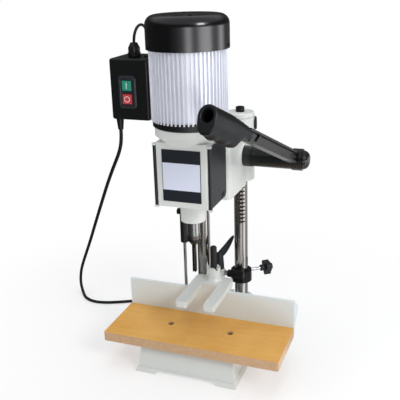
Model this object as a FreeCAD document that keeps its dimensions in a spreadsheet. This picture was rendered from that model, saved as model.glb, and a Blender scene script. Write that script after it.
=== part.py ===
"""Benchtop hollow-chisel mortiser, built as a parametric assembly in millimetres.

Frame: the origin lies on the bench under the middle of the fence face, X to the
machine's right, Y to its back and Z up. The spindle stands in the plane X = 0.
"""
import FreeCAD, Part
import math
import os
import re
import Sketcher
from FreeCAD import Placement, Rotation, Vector

os.makedirs("parts", exist_ok=True)
doc = FreeCAD.newDocument("Mortiser")

# ---------------------------------------------------------------- driving sizes

SIZES = {
    # table, base and columns
    "table_width": 340, "table_depth": 122, "table_thick": 18, "table_top": 71,
    "table_screw_x": 60, "table_screw_y": 53.5, "table_screw_r": 3, "table_screw_sunk": 4,
    "base_left": 98, "base_right": 82.5, "base_front": 107, "base_back": 112,
    "base_taper": 5, "base_front_taper": 13, "base_wall": 5.5, "base_deck": 8,
    "base_arch": 7, "base_foot": 28, "base_foot_left": 32, "base_rim": 4, "base_rim_high": 8,
    "base_web": 8,
    "column_x": 40, "column_y": 85, "column_r": 13.5, "column_top": 455, "column_foot": 14,
    "column_boss_r": 22, "column_boss_top": 78, "cap_r": 27, "cap_thick": 8.5,
    "cap_bolt_r": 5, "cap_bolt_head_r": 8.3, "cap_bolt_head": 9.5, "cap_bolt_depth": 25,
    # rack and pinion
    "gear_module": 2.5, "pinion_teeth": 16, "rack_addendum": 0.85, "rack_below": 18,
    "rack_above": 4, "pinion_z": 387, "pinion_width": 20, "tooth_backlash": 0.3,
    "shaft_r": 8, "shaft_left": 12, "shaft_right": 158, "fit_gap": 0.05,
    # spindle and motor
    "spindle_y": 70, "motor_r": 65, "motor_rib": 4.5, "motor_bore_r": 54, "motor_ribs": 56,
    "motor_bottom": 482, "motor_top": 599, "end_ring_r": 63, "cowl_r": 69, "cowl_height": 54,
    "cowl_wall": 2, "cowl_round": 16, "cowl_screw_up": 6, "cowl_screw_r": 3,
    "end_tooth": 3, "end_tooth_high": 2.5, "fan_blades": 9, "bell_thick": 12, "spindle_r": 8,
    "stator_low": 500, "stator_high": 578, "stator_bore_r": 31, "rotor_r": 30.4,
    "bearing_r": 18,
    # head casting
    "box_half": 46, "box_front": 116, "box_back": 24, "box_low": 337, "box_high": 449,
    "box_wall": 6, "collar_r": 60, "collar_low": 457, "collar_high": 471,
    "block_half": 54, "block_back": 75, "block_low": 324, "block_high": 446,
    "barrel_r": 27, "barrel_low": 333, "barrel_gap": 0.8, "bush_wall": 2.5, "bush_length": 30,
    "boss_r": 22, "boss_out": 58, "nose_r": 22.5, "nose_low": 299, "nose_bore_r": 13,
    # chisel and bit
    "chisel_side": 6.35, "chisel_tip": 198, "chisel_cone": 252, "chisel_ring": 261,
    "chisel_ring_top": 272, "chisel_shank_r": 11.5, "chisel_plug_r": 9.5, "chisel_plug_top": 330,
    "bit_r": 2.1, "bit_bore_r": 2.4, "bit_low": 196, "bit_high": 395,
    "chuck_low": 350, "chuck_high": 428, "chuck_r": 17, "chuck_ring_r": 20,
    # feed lever
    "hub_r": 18.5, "index_collar_r": 19.5, "index_end": 75, "hub_gap": 0.6, "lever_reach": 305,
    "lever_in": 75, "lever_rise": 26.5, "arm_depth": 22, "arm_width": 14, "arm_web": 6,
    "grip_length": 118, "grip_width": 33, "grip_drop": 32, "grip_hole_r": 10,
    "grip_hole_depth": 78, "tang_r": 8, "tang_in": 57, "hub_cap_r": 17, "hub_cap_thick": 12,
    # doors
    "door_low": 338, "door_high": 443, "door_back": 34, "door_thick": 4, "door_gap": 0.5,
    "hinge_y": 113, "hinge_r": 2.8, "hinge_pin_r": 1.3,
    # fence
    "fence_short": 0.5, "fence_high": 126.6, "fence_low": 55, "fence_thick": 6,
    "fence_rib_depth": 24, "fence_end_depth": 34, "fence_rib_z": 100, "fence_rib": 6,
    "guide_r": 7, "guide_z": 62, "guide_back": 114,
    "slide_block_front": 32, "slide_block_half": 16, "slide_block_top": 74,
    "lock_knob_y": 76, "lock_knob_r": 12,
    # hold-down
    "hold_collar_low": 115, "hold_collar_high": 138, "hold_collar_r": 21, "bar_r": 5,
    "bar_y": 57, "bar_z": 138.5, "bar_left": -12, "bar_right": 50, "fork_low": 127,
    "fork_thick": 12, "fork_left": 36, "fork_right": 40, "gap_left": 14.5, "gap_right": 18.5,
    "fork_tip": 84.5, "fork_crotch": 1, "fork_back": 36, "fork_boss_x": 3, "fork_boss_y": 23,
    "fork_boss_r": 12.8, "fork_boss_top": 165.5, "post_r": 6.4, "post_top": 209,
    "clamp_angle": 38, "clamp_z": 133, "clamp_screw_r": 3, "clamp_reach": 42,
    "clamp_hub_r": 6.5, "clamp_lobe_r": 6, "clamp_lobe_out": 10.5,
    # gas strut
    "strut_x": 68, "strut_y": 50, "strut_r": 8, "strut_low": 199, "strut_high": 365,
    "strut_rod_r": 3, "strut_bore_r": 5, "strut_foot_r": 7, "strut_foot": 15,
    # switch box
    "switch_right": 70, "switch_width": 72, "switch_front": 80, "switch_depth": 75,
    "switch_low": 475, "switch_height": 105, "switch_wall": 3, "button_x": 109,
    "button_size": 17, "start_z": 535, "stop_z": 512, "button_proud": 4, "guard_width": 32,
    "guard_height": 56, "guard_proud": 3, "gland_x": 106, "gland_y": 52, "gland_r": 11,
    "gland_high": 24, "grommet_z": 525, "exit_x": 133, "exit_y": 68, "exit_high": 20,
    # label
    "label_left": 35, "label_right": 34, "label_low": 347.5, "label_high": 438,
    "label_thick": 0.8,
    # leads
    "mains_r": 3.25, "motor_lead_r": 2.5,
}

sheet = doc.addObject("Spreadsheet::Sheet", "Sizes")
for row, (alias, value) in enumerate(SIZES.items(), start=1):
    sheet.set(f"A{row}", alias)
    sheet.set(f"B{row}", str(value))
    sheet.setAlias(f"B{row}", alias)
doc.recompute()


def size(alias):
    """Return one driving size as the sheet holds it."""
    return float(sheet.get(alias))


def link(formula):
    """Turn a formula in plain aliases into one that reads the sheet."""
    return re.sub(r"[a-z_]+\b(?!\()", lambda word: f"Sizes.{word.group()}"
                  if word.group() in SIZES else word.group(), str(formula))


# ---------------------------------------------------------------- building blocks

TURN_TO = {"Z": Rotation(), "X": Rotation(Vector(0, 1, 0), 90), "Y": Rotation(Vector(1, 0, 0), -90)}
parts = {}


def bind(item, **formulas):
    """Bind properties of one object to formulas."""
    for name, formula in formulas.items():
        item.setExpression(name, link(formula))
    return item


def put(item, x, y, z, rotation=None):
    """Bind the place of an object to formulas, with a fixed rotation."""
    item.Placement = Placement(Vector(), rotation or Rotation())
    for name, formula in (("x", x), ("y", y), ("z", z)):
        item.setExpression(f"Placement.Base.{name}", link(formula))
    return item


def box(x0, x1, y0, y1, z0, z1):
    """A box between three pairs of planes."""
    item = bind(doc.addObject("Part::Box", "Box"), Length=f"({x1}) - ({x0})",
                Width=f"({y1}) - ({y0})", Height=f"({z1}) - ({z0})")
    return put(item, x0, y0, z0)


def rod(axis, x, y, z, radius, length):
    """A cylinder that starts at a point and runs along +X, +Y or +Z."""
    item = bind(doc.addObject("Part::Cylinder", "Rod"), Radius=radius, Height=length)
    return put(item, x, y, z, TURN_TO[axis])


def taper(axis, x, y, z, radius_1, radius_2, length):
    """A cone frustum that starts at a point and runs along +X, +Y or +Z."""
    item = bind(doc.addObject("Part::Cone", "Taper"), Radius1=radius_1, Radius2=radius_2,
                Height=length)
    return put(item, x, y, z, TURN_TO[axis])


def fuse(*items):
    """One object out of several that touch or overlap."""
    joined = doc.addObject("Part::MultiFuse", "Joined")
    joined.Shapes = list(items)
    joined.Refine = True
    return joined


def cut(base, *tools):
    """The base with every tool taken out of it."""
    result = doc.addObject("Part::Cut", "Cut")
    result.Base = base
    result.Tool = tools[0] if len(tools) == 1 else fuse(*tools)
    result.Refine = True
    return result


def group(*items):
    """Several separate solids held in one node."""
    held = doc.addObject("Part::Compound", "Group")
    held.Links = list(items)
    return held


def shaped(shape):
    """An object with a shape worked out by the geometry kernel."""
    item = doc.addObject("Part::Feature", "Shaped")
    item.Shape = shape
    return item


def part(node, item):
    """Name an object as a sub-part of the assembly."""
    item.Label = node
    parts[node] = item
    return item


def sketch_on(body, role, points, circles=()):
    """A closed outline on an origin plane, every corner bound to its formulas."""
    plane = next(f for f in body.Origin.OriginFeatures if f.Role == role)
    sketch = body.newObject("Sketcher::SketchObject", "Outline")
    sketch.AttachmentSupport = [(plane, "")]
    sketch.MapMode = "FlatFace"
    count = len(points)
    corners = [Vector(math.cos(2 * math.pi * i / count), math.sin(2 * math.pi * i / count), 0)
               for i in range(count)]
    for i in range(count):
        sketch.addGeometry(Part.LineSegment(corners[i], corners[(i + 1) % count]), False)
    for i in range(count):
        sketch.addConstraint(Sketcher.Constraint("Coincident", i, 2, (i + 1) % count, 1))
    for i, (across, up) in enumerate(points):
        for kind, formula in (("DistanceX", across), ("DistanceY", up)):
            index = sketch.addConstraint(Sketcher.Constraint(kind, i, 1, 1.0))
            sketch.setExpression(f"Constraints[{index}]", link(formula))
    for across, up, radius in circles:
        index = sketch.addGeometry(Part.Circle(Vector(), Vector(0, 0, 1), 5), False)
        for kind, place, formula in (("DistanceX", 3, across), ("DistanceY", 3, up)):
            number = sketch.addConstraint(Sketcher.Constraint(kind, index, place, 1.0))
            sketch.setExpression(f"Constraints[{number}]", link(formula))
        number = sketch.addConstraint(Sketcher.Constraint("Radius", index, 5.0))
        sketch.setExpression(f"Constraints[{number}]", link(radius))
    return sketch


def turned(points, x=0, y=0, z=0, rotation=None):
    """A body turned about its own upright axis from (radius, height) corners."""
    body = doc.addObject("PartDesign::Body", "Turned")
    sketch = sketch_on(body, "XZ_Plane", points)
    turn = body.newObject("PartDesign::Revolution", "Turn")
    turn.Profile = sketch
    turn.ReferenceAxis = (sketch, ["V_Axis"])
    turn.Angle = 360
    return put(body, x, y, z, rotation)


def prism(role, points, length, x=0, y=0, z=0, both=False, circles=(), rotation=None):
    """A body padded from an outline on one of its origin planes."""
    body = doc.addObject("PartDesign::Body", "Prism")
    pad = body.newObject("PartDesign::Pad", "Pad")
    pad.Profile = sketch_on(body, role, points, circles)
    pad.setExpression("Length", link(length))
    pad.Midplane = both
    return put(body, x, y, z, rotation)


def repeat_round(body, feature, count):
    """Repeat a feature evenly about its body's upright axis."""
    doc.recompute()
    pattern = body.newObject("PartDesign::PolarPattern", "Pattern")
    pattern.Originals = [feature]
    pattern.Axis = (next(f for f in body.Origin.OriginFeatures if f.Role == "Z_Axis"), [""])
    pattern.Angle = 360
    bind(pattern, Occurrences=count)
    body.Tip = pattern
    return body


def rectangle(left, right, front, back):
    """The four corners of an upright rectangle."""
    return [(left, front), (right, front), (right, back), (left, back)]


def rounded(item, radius, chosen):
    """Round the edges of an object that the test picks."""
    doc.recompute()
    result = doc.addObject("Part::Fillet", "Rounded")
    result.Base = item
    result.Edges = [(number, radius, radius) for number, edge in
                    enumerate(item.Shape.Edges, start=1) if chosen(edge)]
    return result


def upright(edge):
    """Tell whether a straight edge runs along Z."""
    if len(edge.Vertexes) != 2:
        return False
    run = edge.Vertexes[1].Point - edge.Vertexes[0].Point
    return abs(abs(run.z) - edge.Length) < 1e-6


def at_height(height):
    """A test that picks the edges lying wholly at one height."""
    return lambda edge: abs(edge.BoundBox.ZMin - height) < 1e-6 > abs(edge.BoundBox.ZMax - height)


def around(angle):
    """A rotation about the upright, with the local Z axis laid along the new X."""
    return Rotation(Vector(0, 0, 1), angle) * Rotation(Vector(0, 1, 0), 90)


# ---------------------------------------------------------------- base and table

DECK = "(table_top - table_thick)"


def flanks(top, low, high):
    """Tapered block from the bench up to a height.

    low and high say how far its foot and its top stand out from the deck's outline, at the
    sides and at the front.
    """
    block = doc.addObject("PartDesign::Body", "Flanks")
    outlines = []
    for (side, front), height in ((low, 0), (high, top)):
        outline = sketch_on(block, "XY_Plane", rectangle(
            f"-(base_left + {side})", f"base_right + {side}",
            f"-(base_front + {front})", f"base_back + {side}"))
        outline.setExpression("AttachmentOffset.Base.z", link(height))
        outlines.append(outline)
    loft = block.newObject("PartDesign::AdditiveLoft", "Loft")
    loft.Profile = outlines[0]
    loft.Sections = outlines[1:]
    return block


def base_casting():
    """Cast pedestal: tapered shell with a cross web, column sockets and a slide block."""
    pedestal = flanks(DECK, ("base_taper", "base_front_taper"), (0, 0))
    rim = flanks("base_rim_high", ("base_taper + base_rim", "base_front_taper + base_rim"),
                 ("base_taper", "base_front_taper"))
    inside = flanks(f"{DECK} - base_deck", ("base_taper - base_wall",
                    "base_front_taper - base_wall"), ("-base_wall", "-base_wall"))
    arch = prism("XZ_Plane", [
        ("-(base_left - base_foot_left)", 0), ("-(base_left - base_foot_left - base_arch)", "base_arch"),
        ("base_right - base_foot - base_arch", "base_arch"), ("base_right - base_foot", 0)],
        "2 * (base_back + base_front_taper + 4 * base_rim)", both=True)
    bosses = [rod("Z", side, "column_y", "column_foot - base_deck", "column_boss_r",
                  "column_boss_top - column_foot + base_deck") for side in ("column_x", "-column_x")]
    sockets = [rod("Z", side, "column_y", "column_foot", "column_r",
                   "column_boss_top - column_foot") for side in ("column_x", "-column_x")]
    slide = box("-slide_block_half", "slide_block_half", "slide_block_front", "base_back",
                f"{DECK} - 1", "slide_block_top")
    bore = rod("Y", 0, "slide_block_front - 1", "guide_z", "guide_r + fit_gap",
               "base_back - slide_block_front + 2")
    lock = rod("Z", 0, "lock_knob_y", "guide_z", "clamp_screw_r + fit_gap",
               "slide_block_top - guide_z + 1")
    screws = [rod("Z", side, "-table_screw_y", f"{DECK} - base_deck - 1", "table_screw_r",
                  "base_deck + 1") for side in ("table_screw_x", "-table_screw_x")]
    hollow = cut(fuse(pedestal, rim), inside, arch)
    web = box("-(base_left - 1)", "base_right - 1", "-base_web / 2", "base_web / 2", 0,
              f"{DECK} - base_deck / 2")
    return part("base_casting",
                cut(fuse(hollow, slide, web, *bosses), *sockets, bore, lock, *screws))


def table():
    """Board with two countersunk screws that hold it down to the deck."""
    board = rounded(box("-table_width / 2", "table_width / 2", "-table_depth", 0, DECK, "table_top"),
                    3, upright)

    seat = "(table_top - table_screw_sunk - table_screw_r)"

    def screw(side):
        shank = rod("Z", side, "-table_screw_y", f"{DECK} - base_deck", "table_screw_r",
                    f"{seat} - {DECK} + base_deck")
        head = taper("Z", side, "-table_screw_y", seat, "table_screw_r", "2 * table_screw_r",
                     "table_screw_r")
        return fuse(shank, head)

    sides = ("table_screw_x", "-table_screw_x")
    wells = [rod("Z", side, "-table_screw_y", "table_top - table_screw_sunk", "2 * table_screw_r",
                 "table_screw_sunk + 1") for side in sides]
    part("table_board", cut(board, *[screw(side) for side in sides], *wells))
    part("table_screws", group(*[screw(side) for side in sides]))


# ---------------------------------------------------------------- columns

PITCH = "(pi * gear_module)"
TAN_FLANK = math.tan(math.radians(20))


def column_body(side):
    """A plain ground column, standing in its socket."""
    return turned([(0, "column_foot"), ("column_r", "column_foot"),
                   ("column_r", "column_top"), (0, "column_top")], side, "column_y")


def rack_column():
    """Column with a straight rack milled into its front, and a tapped top."""
    body = column_body("column_x")
    low = f"pinion_z - (rack_below + 0.75) * {PITCH}"
    high = f"pinion_z + (rack_above + 0.75) * {PITCH}"
    face = "-(column_r - (1 - rack_addendum) * gear_module)"
    flat = body.newObject("PartDesign::Pocket", "RackFace")
    flat.Profile = sketch_on(body, "YZ_Plane", rectangle("-(column_r + 1)", face, low, high))
    flat.Type = 1
    flat.Midplane = True
    outer = f"{PITCH} / 4 + (gear_module + 1) * {TAN_FLANK}"
    inner = f"{PITCH} / 4 - 1.25 * gear_module * {TAN_FLANK}"
    first = f"pinion_z - rack_below * {PITCH}"
    root = "-(column_r - 2.25 * gear_module)"
    groove = body.newObject("PartDesign::Pocket", "Groove")
    groove.Profile = sketch_on(body, "YZ_Plane", [
        ("-(column_r + 1)", f"{first} - ({outer})"), (root, f"{first} - ({inner})"),
        (root, f"{first} + ({inner})"), ("-(column_r + 1)", f"{first} + ({outer})")])
    groove.Type = 1
    groove.Midplane = True
    doc.recompute()
    rack = body.newObject("PartDesign::LinearPattern", "Rack")
    rack.Originals = [groove]
    rack.Direction = (next(f for f in body.Origin.OriginFeatures if f.Role == "Z_Axis"), [""])
    bind(rack, Length=f"(rack_below + rack_above) * {PITCH}", Occurrences="rack_below + rack_above + 1")
    body.Tip = rack
    return part("rack_column", cut(body, cap_thread("column_x")))


def cap_thread(side):
    """The tapped hole in a column's top."""
    return rod("Z", side, "column_y", "column_top - cap_bolt_depth", "cap_bolt_r",
               "cap_bolt_depth")


def cap(side):
    """Disc that stops the head at the top of its column."""
    return turned([("cap_bolt_r", 0), ("cap_r", 0), ("cap_r", "cap_thick - 1.5"),
                   ("cap_r - 1.5", "cap_thick"), ("cap_bolt_r", "cap_thick")],
                  side, "column_y", "column_top")


def cap_bolt(side):
    """Socket-head bolt through a cap into its column."""
    blank = turned([(0, "-cap_bolt_depth"), ("cap_bolt_r", "-cap_bolt_depth"),
                    ("cap_bolt_r", "cap_thick"), ("cap_bolt_head_r", "cap_thick"),
                    ("cap_bolt_head_r", "cap_thick + cap_bolt_head - 1"),
                    ("cap_bolt_head_r - 1", "cap_thick + cap_bolt_head"),
                    (0, "cap_thick + cap_bolt_head")], side, "column_y", "column_top")
    socket = bind(doc.addObject("Part::Prism", "Socket"), Circumradius="cap_bolt_head_r * 0.55",
                  Height="cap_bolt_head")
    socket.Polygon = 6
    put(socket, side, "column_y", "column_top + cap_thick + cap_bolt_head / 2")
    return cut(blank, socket)


def columns():
    """Both columns with their caps."""
    rack_column()
    part("guide_column", cut(column_body("-column_x"), cap_thread("-column_x")))
    part("column_caps", group(cap("column_x"), cap("-column_x")))
    part("column_cap_bolts", group(cap_bolt("column_x"), cap_bolt("-column_x")))


# ---------------------------------------------------------------- head casting

PINION_Y = "(column_y - column_r + gear_module - pinion_teeth * gear_module / 2)"
HINGE_X = "(box_half + door_gap + hinge_r)"
BARREL_TOP = "(column_top - barrel_gap)"


def head_casting():
    """Cast head: chuck box, motor collar, nose, hollow gear block and two barrels."""
    chuck_box = rounded(box("-box_half", "box_half", "-box_front", "-box_back", "box_low",
                            "box_high"), 3, upright)
    flare = taper("Z", 0, "-spindle_y", "box_high - 6", "box_half + 2", "collar_r - 1.5",
                  "collar_low - box_high + 6")
    collar = rod("Z", 0, "-spindle_y", "collar_low", "collar_r", "collar_high - collar_low")
    nose = taper("Z", 0, "-spindle_y", "nose_low", "nose_r - 0.6", "nose_r", "box_low - nose_low")
    block = rounded(box("-block_half", "block_half", "-box_back", "block_back", "block_low",
                        "block_high"), 10,
                    lambda edge: upright(edge) and edge.BoundBox.YMin < 0)
    barrels = [rod("Z", side, "column_y", "barrel_low", "barrel_r", f"{BARREL_TOP} - barrel_low")
               for side in ("column_x", "-column_x")]
    bridge = box("-column_x", "column_x", "block_back - 1", "column_y + barrel_r - 4",
                 "barrel_low", "block_high")
    boss = rod("X", "block_half - 4", PINION_Y, "pinion_z", "boss_r", "boss_out - block_half + 4")
    left_boss = rod("X", "shaft_left - box_wall", PINION_Y, "pinion_z", "shaft_r + 7",
                    "box_wall * 3")
    room = box("-(box_half - box_wall)", "box_half - box_wall", "-(box_front - box_wall)",
               "-(box_back + box_wall)", "box_low + box_wall", "box_high - box_wall")
    windows = box("-box_half - 1", "box_half + 1", "-(box_front - 2 * box_wall)",
                  "-(box_back + 2 * box_wall)", "box_low + box_wall", "box_high - 2 * box_wall")
    hollow = box("-(block_half - box_wall)", "block_half - box_wall", "-(box_back - box_wall)",
                 "column_y - barrel_r - box_wall / 2", "block_low + box_wall",
                 "block_high - box_wall")
    spindle = rod("Z", 0, "-spindle_y", "box_high - box_wall - 1", "chuck_ring_r + 4",
                  "collar_high - box_high + box_wall + 2")
    nose_bore = rod("Z", 0, "-spindle_y", "nose_low - 1", "nose_bore_r",
                    "box_low - nose_low + box_wall + 2")
    bores = []
    for side in ("column_x", "-column_x"):
        bores.append(rod("Z", side, "column_y", "block_low - 1", "column_r + 1",
                         "column_top - block_low + 2"))
        bores.append(rod("Z", side, "column_y", "barrel_low + bush_length + box_wall",
                         "barrel_r - box_wall",
                         f"{BARREL_TOP} - barrel_low - 2 * (bush_length + box_wall)"))
        for start in ("barrel_low - 1", f"{BARREL_TOP} - bush_length"):
            bores.append(rod("Z", side, "column_y", start, "column_r + bush_wall",
                             "bush_length + 1"))
    chamber = rod("X", "column_x - pinion_width / 2 - 2", PINION_Y, "pinion_z",
                  "(pinion_teeth / 2 + 1) * gear_module + 2", "pinion_width + 4")
    shaft_bore = rod("X", "shaft_left - 1", PINION_Y, "pinion_z", "shaft_r + fit_gap",
                     "boss_out - shaft_left + 2")
    cellar = box("-(column_x - barrel_r - 3)", "column_x - barrel_r - 3",
                 "column_y - barrel_r + box_wall / 2", "column_y + box_wall",
                 "barrel_low + box_wall", "block_high - box_wall")
    collar_room = rod("X", "boss_out", PINION_Y, "pinion_z", "index_collar_r + 1", "boss_r")
    lock_bore = rod("X", "-nose_r - 2", "-spindle_y", "nose_low + 13", "clamp_screw_r", "nose_r")
    metal = fuse(cut(fuse(chuck_box, flare, collar, nose), room, windows),
                 cut(fuse(block, bridge), hollow), boss, left_boss, *barrels)
    return part("head_casting", cut(metal, spindle, nose_bore, *bores, chamber, shaft_bore,
                                    lock_bore, cellar, collar_room, plug_bore()))


def column_bushes():
    """Four sliding bushes, two to a barrel."""
    bushes = []
    for side in ("column_x", "-column_x"):
        for low in ("barrel_low", f"{BARREL_TOP} - bush_length"):
            bushes.append(turned(rectangle("column_r + fit_gap", "column_r + bush_wall", 0,
                                           "bush_length"), side, "column_y", low))
    return part("column_bushes", group(*bushes))


PLUG_ANGLE = 20
PLUG_UP = "(block_high - 5)"


def plug_at(reach):
    """Where a plug feature starts, that far out from the rack column's axis."""
    return (f"column_x + ({reach}) * {math.cos(math.radians(PLUG_ANGLE))}",
            f"column_y + ({reach}) * {math.sin(math.radians(PLUG_ANGLE))}", PLUG_UP)


def plug_bore():
    """Blind hole in the right barrel for the plug's spigot."""
    tool = rod("Z", *plug_at("column_r + 4"), 6, "barrel_r - column_r")
    tool.Placement = Placement(Vector(), around(PLUG_ANGLE))
    return put(tool, *plug_at("column_r + 4"), around(PLUG_ANGLE))


def barrel_plug():
    """Black plug over the clamp-screw hole in the right barrel."""
    return part("barrel_plug", turned(
        [(0, "column_r + 4 - barrel_r"), (6, "column_r + 4 - barrel_r"), (6, 0), (12.5, 0),
         (12.5, 3), (11.5, 4), (0, 4)], *plug_at("barrel_r"), around(PLUG_ANGLE)))


def nose_parts():
    """Chisel bushing and the screw that clamps it."""
    part("chisel_bushing", turned(
        rectangle("chisel_plug_r", "nose_bore_r", 0, "box_low - nose_low"),
        0, "-spindle_y", "nose_low"))
    part("chisel_lock_screw", fuse(
        rod("X", "-nose_r - 7", "-spindle_y", "nose_low + 13", "clamp_screw_r + 2.5", 7),
        rod("X", "-nose_r", "-spindle_y", "nose_low + 13", "clamp_screw_r",
            "nose_r - nose_bore_r - 0.5")))


def label_plate():
    """Thin rating plate on the front of the chuck box."""
    return part("label_plate", box("-label_left", "label_right", "-box_front - label_thick",
                                   "-box_front", "label_low", "label_high"))


# ---------------------------------------------------------------- motor and spindle

def motor_body():
    """Ribbed aluminium motor housing."""
    height = "motor_top - motor_bottom"
    body = turned(rectangle("motor_bore_r", "motor_r - motor_rib", 0, height),
                  0, "-spindle_y", "motor_bottom")
    rib = body.newObject("PartDesign::Pad", "Rib")
    rib.Profile = sketch_on(body, "XY_Plane", [
        ("motor_r - motor_rib - 1", -1.9), ("motor_r", -1), ("motor_r", 1),
        ("motor_r - motor_rib - 1", 1.9)])
    bind(rib, Length=height)
    repeat_round(body, rib, "motor_ribs")
    return part("motor_body", cut(body, grommet_at(rod("Z", 0, 0, 0, 7, "2 * motor_rib"),
                                                   "motor_r - 2 * motor_rib + 1")))


GROMMET_ANGLE = 135


def grommet_at(item, reach):
    """Place an object where the motor lead enters, that far out from the motor's axis."""
    across = math.cos(math.radians(GROMMET_ANGLE))
    back = math.sin(math.radians(GROMMET_ANGLE))
    return put(item, f"({reach}) * {across}", f"-spindle_y + ({reach}) * {back}", "grommet_z",
               around(GROMMET_ANGLE))


def motor_shells():
    """End bells and fan cowl."""
    ring = turned(
        [("bearing_r", 0), ("collar_r", 0), ("end_ring_r", 2),
         ("end_ring_r", "motor_bottom - collar_high"), ("bearing_r", "motor_bottom - collar_high")],
        0, "-spindle_y", "collar_high", Rotation(Vector(0, 0, 1), 180 / size("motor_ribs")))
    tooth = ring.newObject("PartDesign::Pad", "Tooth")
    outline = sketch_on(ring, "XY_Plane", rectangle(
        "motor_r - motor_rib + 0.1", "end_ring_r", "-end_tooth / 2", "end_tooth / 2"))
    outline.setExpression("AttachmentOffset.Base.z", link("motor_bottom - collar_high - 1"))
    tooth.Profile = outline
    bind(tooth, Length="end_tooth_high + 1")
    repeat_round(ring, tooth, "motor_ribs")
    part("motor_end_ring", ring)
    part("motor_top_bell", turned(
        rectangle("bearing_r", "cowl_r - cowl_wall", 0, "bell_thick"), 0, "-spindle_y", "motor_top"))
    blank = rounded(rod("Z", 0, "-spindle_y", "motor_top", "cowl_r", "cowl_height"),
                    size("cowl_round"), at_height(size("motor_top") + size("cowl_height")))
    inside = rod("Z", 0, "-spindle_y", "motor_top", "cowl_r - cowl_wall",
                 "cowl_height - cowl_round")
    crown = rod("Z", 0, "-spindle_y", "motor_top", "cowl_r - cowl_round",
                "cowl_height - cowl_wall")
    slots = []
    for number in range(12):
        slot = box("cowl_r / 4", "cowl_r * 0.75", -2, 2, "motor_top + cowl_height - 2 * cowl_wall",
                   "motor_top + cowl_height + 1")
        slot.setExpression("Placement.Base.x", None)
        slot.setExpression("Placement.Base.y", None)
        turn = Rotation(Vector(0, 0, 1), 30 * number)
        slot.Placement = Placement(turn.multVec(Vector(size("cowl_r") / 4, -2, 0))
                                   - Vector(0, size("spindle_y"), 0), turn)
        slot.setExpression("Placement.Base.z", link("motor_top + cowl_height - 2 * cowl_wall"))
        slots.append(slot)
    screws = [cowl_screw(angle) for angle in COWL_SCREWS]
    part("fan_cowl", cut(blank, inside, crown, *slots, *screws))
    part("cowl_screws", group(*[cowl_screw(angle) for angle in COWL_SCREWS]))


COWL_SCREWS = (-132.5, 2.5, 47.5, 182.5)


def cowl_screw(angle):
    """A button-head screw through the cowl's skirt."""
    return turned([(0, "-cowl_wall"), ("cowl_screw_r - 1", "-cowl_wall"), ("cowl_screw_r - 1", 0),
                   ("cowl_screw_r", 0), ("cowl_screw_r", "cowl_screw_r / 5"),
                   ("cowl_screw_r - 1", "cowl_screw_r / 2"), (0, "cowl_screw_r / 2")],
                  f"cowl_r * {math.cos(math.radians(angle))}",
                  f"-spindle_y + cowl_r * {math.sin(math.radians(angle))}",
                  "motor_top + cowl_screw_up", around(angle))


def motor_inside():
    """Wound stator and the two bearings, fixed in the head."""
    part("stator", turned(rectangle("stator_bore_r", "motor_bore_r", 0, "stator_high - stator_low"),
                          0, "-spindle_y", "stator_low"))
    part("motor_bearings", group(
        turned(rectangle("spindle_r + fit_gap", "bearing_r", 0, "motor_bottom - collar_high"),
               0, "-spindle_y", "collar_high"),
        turned(rectangle("spindle_r + fit_gap", "bearing_r", 0, "bell_thick"),
               0, "-spindle_y", "motor_top")))


def spindle():
    """Everything that turns with the motor."""
    shaft_low = "chuck_high - 28"
    part("motor_shaft", turned(
        [(0, shaft_low), ("spindle_r", shaft_low), ("spindle_r", "motor_top + 38"),
         ("spindle_r - 1", "motor_top + 39"), (0, "motor_top + 39")], 0, "-spindle_y"))
    part("rotor", turned(rectangle("spindle_r", "rotor_r", 0, "stator_high - stator_low"),
                         0, "-spindle_y", "stator_low"))
    fan = turned([("spindle_r", 0), (16, 0), ("cowl_r - 20", 4), ("cowl_r - 20", 6), (16, 6),
                  (16, 16), ("spindle_r", 16)], 0, "-spindle_y", "motor_top + 18")
    blade = fan.newObject("PartDesign::Pad", "Blade")
    blade.Profile = sketch_on(fan, "XY_Plane", rectangle(14, "cowl_r - 12", -1, 1))
    blade.Length = 16
    part("cooling_fan", repeat_round(fan, blade, "fan_blades"))
    chuck = turned([("bit_r", 0), (9, 0), ("chuck_r", 18), ("chuck_r", "chuck_high - chuck_low"),
                    ("spindle_r", "chuck_high - chuck_low"),
                    ("spindle_r", "chuck_high - chuck_low - 28"),
                    ("bit_r", "bit_high - chuck_low")], 0, "-spindle_y", "chuck_low")
    ring = turned([("chuck_r", 20), ("chuck_ring_r", 22), ("chuck_ring_r", 38), ("chuck_r", 38)],
                  0, "-spindle_y", "chuck_low")
    part("chuck", group(chuck, ring))
    part("auger_bit", turned([(0, 0), ("bit_r", 2), ("bit_r", "bit_high - bit_low"),
                              (0, "bit_high - bit_low")], 0, "-spindle_y", "bit_low"))


def chisel():
    """Hollow square chisel with its round shank and ejection slot."""
    shank = turned([(0, "chisel_cone"), (5.5, "chisel_cone"), ("chisel_shank_r + 0.8", "chisel_ring"),
                    ("chisel_shank_r + 0.8", "chisel_ring_top"), ("chisel_shank_r", "chisel_ring_top"),
                    ("chisel_shank_r", "nose_low"), ("chisel_plug_r", "nose_low"),
                    ("chisel_plug_r", "chisel_plug_top"), (0, "chisel_plug_top")],
                   0, "-spindle_y")
    blade = box("-chisel_side / 2", "chisel_side / 2", "-spindle_y - chisel_side / 2",
                "-spindle_y + chisel_side / 2", "chisel_tip", "chisel_cone + 3")
    bore = rod("Z", 0, "-spindle_y", "chisel_tip - 1", "bit_bore_r",
               "chisel_plug_top - chisel_tip + 2")
    slot = box("-bit_r * 0.8", "bit_r * 0.8", "-spindle_y - chisel_side", "-spindle_y",
               "chisel_tip + 9", "chisel_cone - 8")
    points = taper("Z", 0, "-spindle_y", "chisel_tip - 0.01", "chisel_side * 0.68", 0.5, 4)
    return part("chisel", cut(fuse(shank, blade), bore, slot, points))


# ---------------------------------------------------------------- feed lever

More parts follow.
